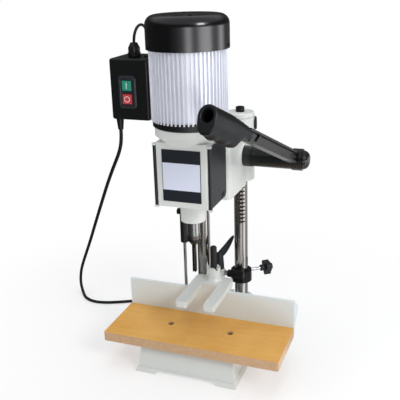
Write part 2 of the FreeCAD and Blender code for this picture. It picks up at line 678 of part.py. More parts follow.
def pinion_shaft():
    """Feed shaft with an involute pinion that meshes with the rack at rest."""
    shaft = rod("X", "shaft_left", PINION_Y, "pinion_z", "shaft_r", "shaft_right - shaft_left")
    module = size("gear_module")
    teeth = int(size("pinion_teeth"))
    pitch_r = module * teeth / 2
    base_r = pitch_r * math.cos(math.radians(20))
    root_r = pitch_r - 1.25 * module
    tip_r = pitch_r + 0.9 * module

    def involute(angle):
        return math.tan(angle) - angle

    half_pitch = math.pi / (2 * teeth) - size("tooth_backlash") / (2 * pitch_r)
    half_base = half_pitch + involute(math.radians(20))

    def flank(turn, side, radius):
        half = half_base - involute(math.acos(min(1, base_r / radius)))
        angle = turn + side * half
        return Vector(0, radius * math.cos(angle), radius * math.sin(angle))

    radii = [base_r + (tip_r - base_r) * step / 4 for step in range(5)]
    edges = []
    for number in range(teeth):
        turn = 2 * math.pi * number / teeth
        following = 2 * math.pi * (number + 1) / teeth
        low = flank(turn, -1, base_r) * (root_r / base_r)
        high = flank(turn, 1, base_r) * (root_r / base_r)
        up = Part.BSplineCurve()
        up.interpolate([flank(turn, -1, radius) for radius in radii])
        down = Part.BSplineCurve()
        down.interpolate([flank(turn, 1, radius) for radius in reversed(radii)])
        crest = Vector(0, tip_r * math.cos(turn), tip_r * math.sin(turn))
        edges += [Part.makeLine(low, flank(turn, -1, base_r)), up.toShape(),
                  Part.Arc(flank(turn, -1, tip_r), crest, flank(turn, 1, tip_r)).toShape(),
                  down.toShape(), Part.makeLine(flank(turn, 1, base_r), high),
                  Part.makeLine(high, flank(following, -1, base_r) * (root_r / base_r))]
    width = size("pinion_width")
    gear = shaped(Part.Face(Part.Wire(edges)).extrude(Vector(width, 0, 0)))
    put(gear, "column_x - pinion_width / 2", PINION_Y, "pinion_z")
    return part("pinion_shaft", fuse(shaft, gear))


def lever_frame():
    """Turn that lays local X along the arm and local Y to the lever's right side."""
    rise = math.radians(size("lever_rise"))
    run = Vector(-size("lever_in"), -size("lever_reach") * math.cos(rise),
                 size("lever_reach") * math.sin(rise)).normalize()
    side = (Vector(1, 0, 0) - run * run.x).normalize()
    return Rotation(run, side, run.cross(side), "XYZ")


ARM_LENGTH = "sqrt(lever_in ^ 2 + lever_reach ^ 2)"
ARM_X = "(shaft_right + 2)"


def lever_place(item, along=0):
    """Place an object drawn in the arm's own frame, that far out along the arm."""
    frame = lever_frame()
    step = frame.multVec(Vector(1, 0, 0))
    return put(item, f"{ARM_X} + ({along}) * {step.x}", f"{PINION_Y} + ({along}) * {step.y}",
               f"pinion_z + ({along}) * {step.z}", frame)


def feed_lever():
    """Lever casting: long hub with a spring space, an end boss and an I-section arm."""
    hub_start = "index_end + hub_gap"
    hub = rod("X", hub_start, PINION_Y, "pinion_z", "hub_r", f"{ARM_X} - 10 - ({hub_start})")
    boss = rod("X", f"{ARM_X} - 10", PINION_Y, "pinion_z", "hub_r + 1.5", 18)
    bore = rod("X", f"{hub_start} - 1", PINION_Y, "pinion_z", "shaft_r + fit_gap",
               f"shaft_right - ({hub_start}) + 1.5")
    spring_room = rod("X", "index_end + 20", PINION_Y, "pinion_z", "hub_r - 4.5", 55)
    flange = "arm_depth / 2"
    web = "arm_web / 2"
    half = "arm_width / 2"
    arm = prism("YZ_Plane", [
        (f"-{half}", f"-{flange}"), (half, f"-{flange}"), (half, f"-{flange} + 4"),
        (web, f"-{flange} + 4"), (web, f"{flange} - 4"), (half, f"{flange} - 4"),
        (half, flange), (f"-{half}", flange), (f"-{half}", f"{flange} - 4"),
        (f"-{web}", f"{flange} - 4"), (f"-{web}", f"-{flange} + 4"),
        (f"-{half}", f"-{flange} + 4")], f"{ARM_LENGTH} - grip_length - 10")
    lever_place(arm, 10)
    tang = turned([(0, -6), ("tang_r", -6), ("tang_r", "tang_in - 1"), ("tang_r - 1", "tang_in"),
                   (0, "tang_in")])
    lever_place(tang, f"{ARM_LENGTH} - grip_length")
    tang.Placement = Placement(tang.Placement.Base, lever_frame() * TURN_TO["X"])
    gusset = prism("XZ_Plane", [("0", "-arm_depth / 2 + 1"), (16, "-arm_depth / 2 + 1"),
                                (0, "arm_depth / 2 - 1")], "arm_width - 2", both=True)
    lever_place(gusset, f"{ARM_LENGTH} - grip_length - 36")
    solid = fuse(cut(fuse(hub, boss), bore, spring_room), cut(arm, arm_clear()), tang, gusset)
    return part("feed_lever", solid)


def arm_clear():
    """The cylinder of the boss, which the arm starts from."""
    return rod("X", f"{ARM_X} - 12", PINION_Y, "pinion_z", "hub_r - 4.5", 10)


def lever_grip():
    """Moulded grip over the arm's tang, with finger bulges and an open tip."""
    start = f"{ARM_LENGTH} - grip_length"
    top = turned([(0, 0), ("grip_width / 2 - 3.5", 0), ("grip_width / 2 - 1", 8),
                  ("grip_width / 2", 24), ("grip_width / 2", "grip_length - 2"),
                  ("grip_width / 2 - 2", "grip_length"), (0, "grip_length")])
    top.Placement = Placement(Vector(), TURN_TO["X"])
    section = prism("YZ_Plane", [
        ("-grip_width / 2 + 1", 0), ("-grip_width / 2 + 1.5", "-grip_drop + 9"),
        ("-grip_width / 2 + 4", "-grip_drop + 3"), ("-grip_width / 2 + 8", "-grip_drop"),
        ("grip_width / 2 - 8", "-grip_drop"), ("grip_width / 2 - 4", "-grip_drop + 3"),
        ("grip_width / 2 - 1.5", "-grip_drop + 9"), ("grip_width / 2 - 1", 0)], "grip_length - 1")
    side = prism("XZ_Plane", [
        (8, 0), (18, -12), (34, "-grip_drop + 8"), ("grip_length - 12", "-grip_drop + 8"),
        ("grip_length - 1", "-grip_drop + 3"), ("grip_length - 1", 0)], "grip_width + 2", both=True)
    bulges = []
    for share in (0.37, 0.6, 0.83):
        bulge = rod("Y", f"grip_length * {share}", "-grip_width / 2 - 1", "-grip_drop + 15", 15, "grip_width + 2")
        bulges.append(bulge)
    lower = doc.addObject("Part::Common", "Lower")
    lower.Base = section
    lower.Tool = fuse(side, *bulges)
    doc.recompute()
    bore = rod("X", "grip_length - grip_hole_depth", 0, 0, "grip_hole_r", "grip_hole_depth + 1")
    tang = rod("X", -1, 0, 0, "tang_r", "tang_in + 1")
    return part("lever_grip", lever_place(cut(fuse(top, lower), bore, tang), start))


def lever_small_parts():
    """Index collar, hub cap and the spring inside the hub."""
    collar = rod("X", "boss_out", PINION_Y, "pinion_z", "index_collar_r", "index_end - boss_out")
    bore = rod("X", "boss_out - 1", PINION_Y, "pinion_z", "shaft_r", "index_end - boss_out + 2")
    part("index_collar", cut(collar, bore))
    part("hub_cap", turned([(0, 0), ("hub_cap_r", 0), ("hub_cap_r", 3), ("hub_cap_r - 1.5", 7),
                            ("hub_cap_r - 5", "hub_cap_thick - 1.5"), ("hub_cap_r - 9", "hub_cap_thick"),
                            (0, "hub_cap_thick")], f"{ARM_X} + 8", PINION_Y, "pinion_z",
                           TURN_TO["X"]))
    wire_r = 1.1
    coil_r = size("shaft_r") + 2
    helix = Part.makeHelix(10, 50, coil_r)
    ring = Part.Wire(Part.makeCircle(wire_r, Vector(coil_r, 0, 0), Vector(0, 1, 0)))
    spring = shaped(Part.Wire(helix.Edges).makePipeShell([ring], True, True))
    part("index_spring", put(spring, "index_end + 22.5", PINION_Y, "pinion_z", TURN_TO["X"]))


# ---------------------------------------------------------------- doors

def chuck_door(node, side):
    """Chuck access door with a knuckle along its front edge and vents at its foot."""
    inner = "box_half + door_gap"
    plate = prism("YZ_Plane", [
        ("-hinge_y", "door_low"), ("-door_back - 6", "door_low"), ("-door_back", "door_low + 6"),
        ("-door_back", "door_high - 6"), ("-door_back - 6", "door_high"),
        ("-hinge_y", "door_high")], "door_thick",
        f"{inner}" if side > 0 else f"-({inner}) - door_thick")
    knuckle = rod("Z", f"{side} * {HINGE_X}", "-hinge_y", "door_low", "hinge_r",
                  "door_high - door_low")
    bore = rod("Z", f"{side} * {HINGE_X}", "-hinge_y", "door_low - 1", "hinge_pin_r + fit_gap",
               "door_high - door_low + 2")
    near = f"{inner} - 1" if side > 0 else f"-({inner}) - door_thick - 1"
    vents = [box(near, f"{near} + door_thick + 2", f"-door_back - {26 - 9 * i}",
                 f"-door_back - {21 - 9 * i}", "door_low + 3", "door_low + 12") for i in range(2)]
    return part(node, cut(fuse(plate, knuckle), bore, *vents))


def door_pins():
    """Hinge pins, each held by a lug at both ends."""
    pins = []
    for side in (1, -1):
        near = "box_half" if side > 0 else f"-({HINGE_X} + 3)"
        far = f"{HINGE_X} + 3" if side > 0 else "-box_half"
        pin = rod("Z", f"{side} * {HINGE_X}", "-hinge_y", "door_low - 4", "hinge_pin_r",
                  "door_high - door_low + 8")
        lugs = [box(near, far, "-box_front", "-hinge_y + hinge_r", low, f"{low} + 3.5")
                for low in ("door_low - 4", "door_high + 0.5")]
        pins.append(fuse(pin, *lugs))
    return part("door_hinge_pins", group(*pins))


# ---------------------------------------------------------------- fence

def fence():
    """Cast fence: upright plate, long rear rib and three pointed gussets."""
    left = "(fence_short - table_width / 2)"
    right = "(table_width / 2 - fence_short)"
    plate = box(left, right, 0, "fence_thick", "fence_low", "fence_high")
    rib = box(left, right, "fence_thick - 1", "fence_rib_depth - 4",
              "fence_rib_z - fence_rib / 2", "fence_rib_z + fence_rib / 2")
    gussets = [prism("YZ_Plane", [("fence_thick - 1", "fence_low + 6"),
                                  (depth, "fence_rib_z - fence_rib / 2"),
                                  (depth, "fence_rib_z + fence_rib / 2"),
                                  ("fence_thick - 1", "fence_high - 1")], "fence_rib", start)
               for start, depth in ((left, "fence_end_depth"),
                                    ("-fence_rib / 2", "fence_rib_depth"),
                                    (f"{right} - fence_rib", "fence_end_depth"))]
    bar_hole = rod("Y", 0, "fence_thick", "guide_z", "guide_r", "fence_rib_depth")
    part("fence", cut(fuse(plate, rib, *gussets), bar_hole))
    part("fence_guide_bar", turned(
        [(0, 0), ("guide_r", 0), ("guide_r", "guide_back - fence_thick - 1"),
         ("guide_r - 1", "guide_back - fence_thick"), (0, "guide_back - fence_thick")],
        0, "fence_thick", "guide_z", TURN_TO["Y"]))
    foot = "guide_z + guide_r + fit_gap"
    part("fence_lock_knob", turned(
        [(0, foot), ("clamp_screw_r", foot), ("clamp_screw_r", "slide_block_top + 0.3"),
         ("lock_knob_r - 4", "slide_block_top + 0.3"), ("lock_knob_r - 4", "slide_block_top + 6"),
         ("lock_knob_r", "slide_block_top + 9"), ("lock_knob_r", "slide_block_top + 18"),
         ("lock_knob_r - 3", "slide_block_top + 21"), (0, "slide_block_top + 21")],
        0, "lock_knob_y"))


# ---------------------------------------------------------------- hold-down

def hold_down_collar():
    """Black collar on the rack column, with a lobe that holds the cross bar."""
    height = "hold_collar_high - hold_collar_low"
    ring = rod("Z", "column_x", "column_y", "hold_collar_low", "hold_collar_r", height)
    lobe = rod("X", "column_x - hold_collar_r + 2", "bar_y", "bar_z", "bar_r + 2.5", 33)
    neck = box("column_x - 12", "column_x + 12", "bar_y", "column_y", "hold_collar_low + 5",
               "bar_z + 5")
    bore = rod("Z", "column_x", "column_y", "hold_collar_low - 1", "column_r + fit_gap",
               f"{height} + 20")
    bar = rod("X", "column_x - hold_collar_r - 5", "bar_y", "bar_z", "bar_r",
              "bar_right - column_x + hold_collar_r + 5")
    screw = rod("Z", "column_x", "column_y", "clamp_z", "clamp_screw_r + fit_gap", 30)
    screw.Placement = Placement(Vector(), around(size("clamp_angle")))
    put(screw, "column_x", "column_y", "clamp_z", around(size("clamp_angle")))
    return part("hold_down_collar", cut(fuse(ring, lobe, neck), bore, bar, screw))


def hold_down_fork():
    """White fork: two prongs, a crowned post boss and a sleeve on the cross bar."""
    plate = prism("XY_Plane", [
        ("-fork_left", "-fork_tip + 2"), ("-fork_left + 2", "-fork_tip"),
        ("-gap_left - 2", "-fork_tip"), ("-gap_left", "-fork_tip + 2"),
        ("-gap_left", "-fork_crotch"), ("gap_right", "-fork_crotch"),
        ("gap_right", "-fork_tip + 2"), ("gap_right + 2", "-fork_tip"),
        ("fork_right - 2", "-fork_tip"), ("fork_right", "-fork_tip + 2"),
        ("fork_right", "fork_back - 8"), ("fork_right - 4", "fork_back"),
        ("-fork_left + 4", "fork_back"), ("-fork_left", "fork_back - 8")],
        "fork_thick", 0, 0, "fork_low")
    boss = rod("Z", "fork_boss_x", "fork_boss_y", "fork_low", "fork_boss_r",
               "fork_boss_top - fork_low")
    flare = taper("Z", "fork_boss_x", "fork_boss_y", "fork_low + fork_thick", "fork_boss_r + 4",
                  "fork_boss_r", 6)
    arm = box("fork_boss_x - 10", "fork_boss_x + 10", "fork_boss_y", "bar_y", "fork_low",
              "bar_z + 6")
    sleeve = rod("X", "fork_boss_x - 10", "bar_y", "bar_z", "bar_r + 3.6", 20)
    post = rod("Z", "fork_boss_x", "fork_boss_y", "bar_z", "post_r", "fork_boss_top")
    notches = []
    for turn in (0, 90):
        notch = box(-2.5, 2.5, -20, 20, 0, 6)
        put(notch, "fork_boss_x", "fork_boss_y", "fork_boss_top - 4")
        rotation = Rotation(Vector(0, 0, 1), 45 + turn)
        offset = rotation.multVec(Vector(-2.5, -20, 0))
        put(notch, f"fork_boss_x + ({offset.x})", f"fork_boss_y + ({offset.y})",
            "fork_boss_top - 4", rotation)
        notches.append(notch)
    bar = rod("X", "fork_boss_x - 11", "bar_y", "bar_z", "bar_r", 22)
    screw = rod("Z", "fork_boss_x", "bar_y", "bar_z", "clamp_screw_r + fit_gap", 20)
    return part("hold_down_fork", cut(fuse(plate, boss, flare, arm, sleeve), post, bar, screw,
                                      *notches))


def hold_down_small_parts():
    """Cross bar, post, clamping lever, clamp screw and its knob."""
    part("hold_down_bar", rod("X", "bar_left", "bar_y", "bar_z", "bar_r", "bar_right - bar_left"))
    part("fork_post", turned([(0, "bar_z"), ("post_r", "bar_z"), ("post_r", "post_top - 2"),
                              ("post_r - 2", "post_top"), (0, "post_top")],
                             "fork_boss_x", "fork_boss_y"))
    seat = "bar_z + bar_r + 4"
    hub = turned([(0, "bar_z + bar_r + 0.05"), ("clamp_screw_r", "bar_z + bar_r + 0.05"),
                  ("clamp_screw_r", f"{seat} + 0.3"), (8, f"{seat} + 0.3"), (7, f"{seat} + 26"),
                  (7.5, f"{seat} + 30"), (5, f"{seat} + 34"), (0, f"{seat} + 34")],
                 "fork_boss_x", "bar_y")
    arm = prism("XZ_Plane", [(0, -6), (12, -4), (27, 4), (45, 19), (51, 28), (48, 33), (40, 31),
                             (24, 18), (12, 10), (0, 8)], 9, "fork_boss_x", "bar_y",
                f"{seat} + 24", True, (), Rotation(Vector(0, 0, 1), 72))
    part("hold_down_lever", fuse(hub, arm))
    turn = around(size("clamp_angle"))
    screw = turned([(0, "column_r + 0.15"), ("clamp_screw_r - 1", "column_r + 0.15"),
                    ("clamp_screw_r", "column_r + 1.2"), ("clamp_screw_r", "clamp_reach + 6"),
                    (0, "clamp_reach + 6")], "column_x", "column_y", "clamp_z", turn)
    part("clamp_screw", screw)
    cos = math.cos(math.radians(size("clamp_angle")))
    sin = math.sin(math.radians(size("clamp_angle")))

    def knob_rod(start, radius, length, lobe=None):
        offset = Vector()
        if lobe is not None:
            out = Vector(size("clamp_lobe_out"), 0, 0)
            offset = turn.multVec(Rotation(Vector(0, 0, 1), lobe).multVec(out))
        item = bind(doc.addObject("Part::Cylinder", "Rod"), Radius=radius, Height=length)
        return put(item, f"column_x + ({start}) * {cos} + {offset.x}",
                   f"column_y + ({start}) * {sin} + {offset.y}", f"clamp_z + {offset.z}", turn)

    knob = fuse(knob_rod("clamp_reach", "clamp_hub_r", 22),
                knob_rod("clamp_reach + 9", "clamp_lobe_out", 12),
                *[knob_rod("clamp_reach + 9", "clamp_lobe_r", 12, lobe) for lobe in (0, 120, 240)])
    part("clamp_knob", cut(knob, knob_rod("clamp_reach - 1", "clamp_screw_r", 7)))


# ---------------------------------------------------------------- gas strut

def gas_strut():
    """Strut that carries the head's weight: cylinder, rod, foot and bracket."""
    foot = "table_top - table_thick"
    part("strut_foot", cut(rod("Z", "-strut_x", "strut_y", foot, "strut_foot_r", "strut_foot + 4"),
                           rod("Z", "-strut_x", "strut_y", f"{foot} + strut_foot",
                               "strut_rod_r", 5)))
    piston = "strut_low + 10"
    part("strut_rod", turned(
        [(0, f"{foot} + strut_foot"), ("strut_rod_r", f"{foot} + strut_foot"),
         ("strut_rod_r", piston), ("strut_bore_r - 0.1", piston),
         ("strut_bore_r - 0.1", f"{piston} + 6"), (0, f"{piston} + 6")], "-strut_x", "strut_y"))
    part("strut_cylinder", turned(
        [("strut_rod_r + 0.1", "strut_low"), ("strut_r - 1", "strut_low"),
         ("strut_r", "strut_low + 1"), ("strut_r", "strut_high - 1"),
         ("strut_r - 1", "strut_high"), (4, "strut_high"), (4, "strut_high + 10"),
         (0, "strut_high + 10"), (0, "strut_high - 6"), ("strut_bore_r", "strut_high - 6"),
         ("strut_bore_r", "strut_low + 8"), ("strut_rod_r + 0.1", "strut_low + 8")],
        "-strut_x", "strut_y"))
    part("strut_bracket", cut(
        box("-strut_x - strut_r", "-block_half", "strut_y - strut_r", "strut_y + strut_r",
            "strut_high + 1", "strut_high + 7"),
        rod("Z", "-strut_x", "strut_y", "strut_high", 4, 8)))


# ---------------------------------------------------------------- switch box

BUTTON_GAP = 0.2


def switch_box():
    """Moulded switch enclosure with rounded edges and a hole for each button."""
    top = "switch_low + switch_height"
    outer = rounded(box("-switch_right - switch_width", "-switch_right", "-switch_front",
                        "-switch_front + switch_depth", "switch_low", top), 4,
                    lambda edge: True)
    wall = "switch_wall"
    room = box(f"-switch_right - switch_width + {wall}", f"-switch_right - {wall}",
               f"-switch_front + {wall}", f"-switch_front + switch_depth - {wall}",
               f"switch_low + {wall}", f"{top} - {wall}")
    holes = [button_hole(z) for z in ("start_z", "stop_z")]
    lead = rod("Z", "-gland_x", "-gland_y", f"{top} - {wall} - 1", "motor_lead_r + 3", 8)
    mains = rod("Z", "-exit_x", "-exit_y", "switch_low - 1", "mains_r + 1", 8)
    part("switch_box", cut(outer, room, *holes, lead, mains))
    frame = box("-button_x - guard_width / 2", "-button_x + guard_width / 2",
                "-switch_front - guard_proud", "-switch_front", "(start_z + stop_z - guard_height) / 2",
                "(start_z + stop_z + guard_height) / 2")
    part("switch_guard", cut(rounded(frame, 2, lambda edge: edge.BoundBox.YLength > 1),
                             *[button_hole(z) for z in ("start_z", "stop_z")]))
    deep = "-switch_front + switch_wall"
    body = box("-button_x - 15", "-button_x + 15", deep, f"{deep} + 37", "stop_z - 16",
               "start_z + 16")
    pocket = box("-button_x - button_size / 2 - 1", "-button_x + button_size / 2 + 1", f"{deep} - 1",
                 f"{deep} + 11", "stop_z - button_size / 2 - 1", "start_z + button_size / 2 + 1")
    part("switch_block", cut(body, pocket))
    for node, z in (("start_button", "start_z"), ("stop_button", "stop_z")):
        cap_box = box("-button_x - button_size / 2", "-button_x + button_size / 2",
                      "-switch_front - button_proud", "-switch_front + 10",
                      f"{z} - button_size / 2", f"{z} + button_size / 2")
        part(node, rounded(cap_box, 1.5, lambda edge: edge.BoundBox.YLength < 1e-6
                           and edge.BoundBox.YMin < -size("switch_front")))


def button_hole(z):
    """Opening that a push button slides in."""
    half = f"(button_size / 2 + {BUTTON_GAP})"
    return box(f"-button_x - {half}", f"-button_x + {half}", "-switch_front - 5",
               "-switch_front + switch_wall + 1", f"{z} - {half}", f"{z} + {half}")


def switch_bracket():
    """Bent steel plate that carries the switch box on the head."""
    plate = box("-switch_right", "-switch_right + 3", "-box_back", "0", "box_high - box_back",
                "switch_low + switch_height * 0.4")
    flange = box("-switch_right", "-block_half", "-box_back + 10", "0", "box_high - box_back",
                 "box_high - box_back + 3")
    tab = box("-block_half - 3", "-block_half", "-box_back + 10", "0", "box_high - box_back",
              "block_high - 1")
    return part("switch_bracket", fuse(plate, flange, tab))


def glands():
    """Cord gland on the box, strain relief under it, grommet on the motor, blanking plug."""
    top = "switch_low + switch_height"
    upper = turned([("motor_lead_r", -4), ("motor_lead_r + 2.9", -4), ("motor_lead_r + 2.9", 0),
                    ("gland_r", 0), ("gland_r", "gland_high / 3"),
                    ("gland_r - 1.5", "gland_high / 3 + 1"), ("gland_r - 1.5", "gland_high * 0.7"),
                    ("gland_r - 5", "gland_high"), ("motor_lead_r", "gland_high")],
                   "-gland_x", "-gland_y", top)
    lower = turned([("mains_r", "-exit_high"), ("mains_r + 1.5", "-exit_high"),
                    ("mains_r + 3.5", 0), ("mains_r + 0.9", 0), ("mains_r + 0.9", 4),
                    ("mains_r", 4)], "-exit_x", "-exit_y", "switch_low")
    nut = bind(doc.addObject("Part::Prism", "Nut"), Circumradius="gland_r + 1",
               Height="gland_high / 3 - 1")
    nut.Polygon = 6
    put(nut, "-gland_x", "-gland_y", f"{top} + 0.5")
    grommet = grommet_at(turned([(0, -2), (7, -2), (7, 0), (6, 6), (0, 6)]), "motor_r")
    blank = turned([(0, 0), (5, 0), (4.5, 2.5), (2.5, 4), (0, 4.5)], "-gland_x + 22",
                   "-gland_y + 4", top)
    lead = rod("Z", "-gland_x", "-gland_y", top, "motor_lead_r", "gland_high")
    return part("glands", group(fuse(upper, cut(nut, lead)), lower, grommet, blank))


# ---------------------------------------------------------------- cords

def cord(node, route, radius):
    """A round cord swept along straight runs joined by tangent arcs."""
    points = [Vector(*place) for place in route]
    runs = [(after - before).Length for before, after in zip(points, points[1:])]
    edges = []
    radii = []
    start = points[0]
    for before, corner, after, run_in, run_out in zip(points, points[1:], points[2:], runs,
                                                      runs[1:]):
        back = (before - corner).normalize()
        ahead = (after - corner).normalize()
        setback = 0.45 * min(run_in, run_out)
        first = corner + back * setback
        last = corner + ahead * setback
        half_turn = (math.pi - back.getAngle(ahead)) / 2
        arc_r = setback / math.tan(half_turn)
        radii.append(arc_r)
        centre = corner + (back + ahead).normalize() * (arc_r / math.cos(half_turn))
        middle = centre + (corner - centre).normalize() * arc_r
        edges += [Part.makeLine(start, first), Part.Arc(first, middle, last).toShape()]
        start = last
    edges.append(Part.makeLine(start, points[-1]))
    path = Part.Wire(edges)
    print(node, "arc radii", " ".join(f"{value:.0f}" for value in radii), "on a radius of", radius)
    ring = Part.Wire(Part.makeCircle(radius, points[0], points[1] - points[0]))
    return part(node, shaped(path.makePipeShell([ring], True, False)))


COIL_X, COIL_Y = -60, 175
COIL_R, COIL_HALF = 36, 7
MOTOR_LEAD = [
    (-106, -52, 592), (-106, -52, 610), (-106, -42, 625), (-106, -25.5, 632), (-106, -8.5, 629),
    (-105, 3.5, 617), (-102.5, 9.5, 601), (-98, 12, 585), (-92, 13, 568.5), (-84.2, 12.3, 551),
    (-75.6, 5.6, 533.6), (-63.6, -6.4, 525), (-50.2, -19.8, 525)]
MAINS_CORD = [
    (-133, -68, 455), (-133, -68, 436), (-142, -62, 411), (-166, -44, 376), (-194, -20, 335),
    (-224, 8, 289), (-253, 35, 244), (-281, 61, 200), (-308, 87, 158), (-334, 110, 118),
    (-358, 130, 80), (-374, 142, 50), (-374.5, 135.5, 21.5), (-358.5, 119, 3.3), (-341, 100, 3.3),
    (-315, 90, 3.3), (-286, 94, 3.3), (-258, 106, 3.3), (-230, 120, 3.3), (-201, 134, 3.3),
    (-170, 145, 3.3), (-139, 148, 3.3), (-110, 144, 5), (-83, COIL_Y - COIL_R, COIL_HALF),
    (COIL_X, COIL_Y - COIL_R, COIL_HALF)]
BOOT = 42


def leads():
    """Motor lead, mains cord, its coil on the bench and the plug."""
    cord("motor_lead", MOTOR_LEAD, size("motor_lead_r"))
    mains = cord("mains_cord", MAINS_CORD, size("mains_r"))
    ring = doc.addObject("Part::Torus", "Coil")
    ring.Radius1 = COIL_R
    ring.Radius2 = COIL_HALF
    put(ring, COIL_X, COIL_Y, COIL_HALF)
    boot = rod("X", COIL_X, COIL_Y - COIL_R, COIL_HALF, size("mains_r"), BOOT)
    part("mains_coil", cut(ring, mains, boot))
    body = box(COIL_X + BOOT, COIL_X + BOOT + 34, COIL_Y - COIL_R - 12, COIL_Y - COIL_R + 12, 0.2, 17)
    shell = rounded(body, 3, lambda edge: True)
    pins = [rod("X", COIL_X + BOOT + 33, COIL_Y - COIL_R + across, 8.6, 2.4, 20) for across in (-9.5, 9.5)]
    part("mains_plug", fuse(boot, shell, *pins))


# ---------------------------------------------------------------- assembly

for build in (base_casting, table, columns, head_casting, column_bushes, barrel_plug, nose_parts,
              label_plate, motor_body, motor_shells, motor_inside, spindle, chisel, pinion_shaft,
              feed_lever, lever_grip, lever_small_parts, door_pins, fence, hold_down_collar,
              hold_down_fork, hold_down_small_parts, gas_strut, switch_box, switch_bracket,
              glands, leads):
    build()
chuck_door("right_chuck_door", 1)
chuck_door("left_chuck_door", -1)
doc.recompute()

for item in doc.Objects:
    if {"Invalid", "Error"} & set(item.State):
        raise RuntimeError(f"{item.Name} ({item.Label}) did not build: {item.State}")
for node, item in parts.items():
    if item.Shape.isNull() or not item.Shape.isValid() or not item.Shape.Solids:
        raise RuntimeError(f"{node} has no valid shape")
    item.Shape.exportStep(f"parts/{node}.step")
print(len(parts), "sub-parts written")
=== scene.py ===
"""Looks of a benchtop hollow-chisel mortiser: finishes, cords, moulded pieces, camera and light."""
import logging
import math
from collections.abc import Sequence
from dataclasses import dataclass
from enum import Enum
from typing import Any, ClassVar

import bmesh
import bpy
from mathutils import Matrix, Vector


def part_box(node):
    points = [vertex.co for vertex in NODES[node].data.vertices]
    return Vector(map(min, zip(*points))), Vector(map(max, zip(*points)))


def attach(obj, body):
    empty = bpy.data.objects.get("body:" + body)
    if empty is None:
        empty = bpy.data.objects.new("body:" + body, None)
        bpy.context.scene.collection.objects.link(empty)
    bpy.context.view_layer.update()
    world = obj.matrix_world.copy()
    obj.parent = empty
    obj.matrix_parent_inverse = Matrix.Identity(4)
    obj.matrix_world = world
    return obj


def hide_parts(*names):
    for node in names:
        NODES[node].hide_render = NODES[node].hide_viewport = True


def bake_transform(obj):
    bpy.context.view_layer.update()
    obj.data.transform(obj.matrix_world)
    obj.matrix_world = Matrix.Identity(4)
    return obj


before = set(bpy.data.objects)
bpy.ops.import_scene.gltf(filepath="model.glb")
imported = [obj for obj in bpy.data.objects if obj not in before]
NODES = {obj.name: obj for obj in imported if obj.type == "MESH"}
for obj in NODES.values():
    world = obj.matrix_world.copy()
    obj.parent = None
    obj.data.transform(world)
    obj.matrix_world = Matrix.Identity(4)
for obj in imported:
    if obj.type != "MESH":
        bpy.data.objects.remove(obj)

LOG = logging.getLogger("mortiser")
MM = 0.001

Colour = tuple[float, float, float, float]
Place = tuple[float, float, float]
Pair = tuple[float, float]
Panel = tuple[float, float, float]
Ring = Sequence[Vector]
Inputs = dict[int | str, Any]


# ---------------------------------------------------------------- colour and node trees

def linear(code: str) -> Colour:
    """Return an sRGB hex code as linear red, green and blue, and an alpha of one."""
    channels = [int(code[start:start + 2], 16) / 255 for start in (1, 3, 5)]
    return (*[c / 12.92 if c <= 0.04045 else ((c + 0.055) / 1.055) ** 2.4 for c in channels], 1.0)


def set_stops(ramp: bpy.types.ColorRamp, stops: Sequence[tuple[float, Colour]]) -> None:
    """Fill a colour ramp that still has its two first stops.

    Args:
        ramp: The ramp.
        stops: Place and linear colour of each stop, in order.
    """
    for place, _ in stops[1:-1]:
        ramp.elements.new(place)
    for element, (place, colour) in zip(ramp.elements, stops):
        element.position = place
        element.color = colour


class Tree:
    """A node tree that is built one node at a time.

    A Mix node of colours takes its factor at input 0 and its colours at 6 and 7, and gives the
    result at output 2. One of numbers has them at 0, 2 and 3, and at output 0.
    """

    def __init__(self, tree: bpy.types.NodeTree) -> None:
        """Keep the tree of a material, a world or a Geometry Nodes group."""
        self.tree = tree

    def feed(self, node: bpy.types.Node, inputs: Inputs) -> None:
        """Give a node its inputs.

        Args:
            node: The node.
            inputs: A constant or an output socket for each, by an input's name or number.
        """
        for key, value in inputs.items():
            if isinstance(value, bpy.types.NodeSocket):
                self.tree.links.new(value, node.inputs[key])
            else:
                node.inputs[key].default_value = value

    def add(self, kind: str, inputs: Inputs | None = None, **settings: Any) -> bpy.types.Node:
        """Add a node with its settings and links.

        Args:
            kind: The node's type.
            inputs: A constant or an output socket for each, by an input's name or number.
            settings: Properties of the node itself.

        Returns:
            The new node.
        """
        node = self.tree.nodes.new(kind)
        for name, value in settings.items():
            setattr(node, name, value)
        self.feed(node, inputs or {})
        return node


class Grain(Enum):
    """How fine a surface's relief is along X, Y and Z, as a share of its plain fineness."""

    EVEN = (1.0, 1.0, 1.0)
    UPRIGHT = (1.0, 1.0, 0.02)
    TURNED = (0.1, 0.1, 1.0)
    BOARD = (0.06, 1.0, 1.0)


class Shader(Tree):
    """The node tree of a new material."""

    def __init__(self, title: str) -> None:
        """Start a material with a Principled BSDF.

        Args:
            title: The real material's name.
        """
        self.material = bpy.data.materials.new(title)
        self.material.use_nodes = True
        super().__init__(self.material.node_tree)
        self.skin = self.tree.nodes["Principled BSDF"]

    def space(self, grain: Grain = Grain.EVEN) -> bpy.types.NodeSocket:
        """Return Object coordinates, scaled for the way a relief runs."""
        where = self.add("ShaderNodeTexCoord").outputs["Object"]
        return self.add("ShaderNodeMapping", {"Vector": where, "Scale": grain.value}).outputs[0]


# ---------------------------------------------------------------- finishes

BUMP_STRENGTH = 0.6
COAT_ROUGHNESS = 0.08
MOTTLE_GRAINS = 14  # how many grains wide the broad mottle of tint and roughness is


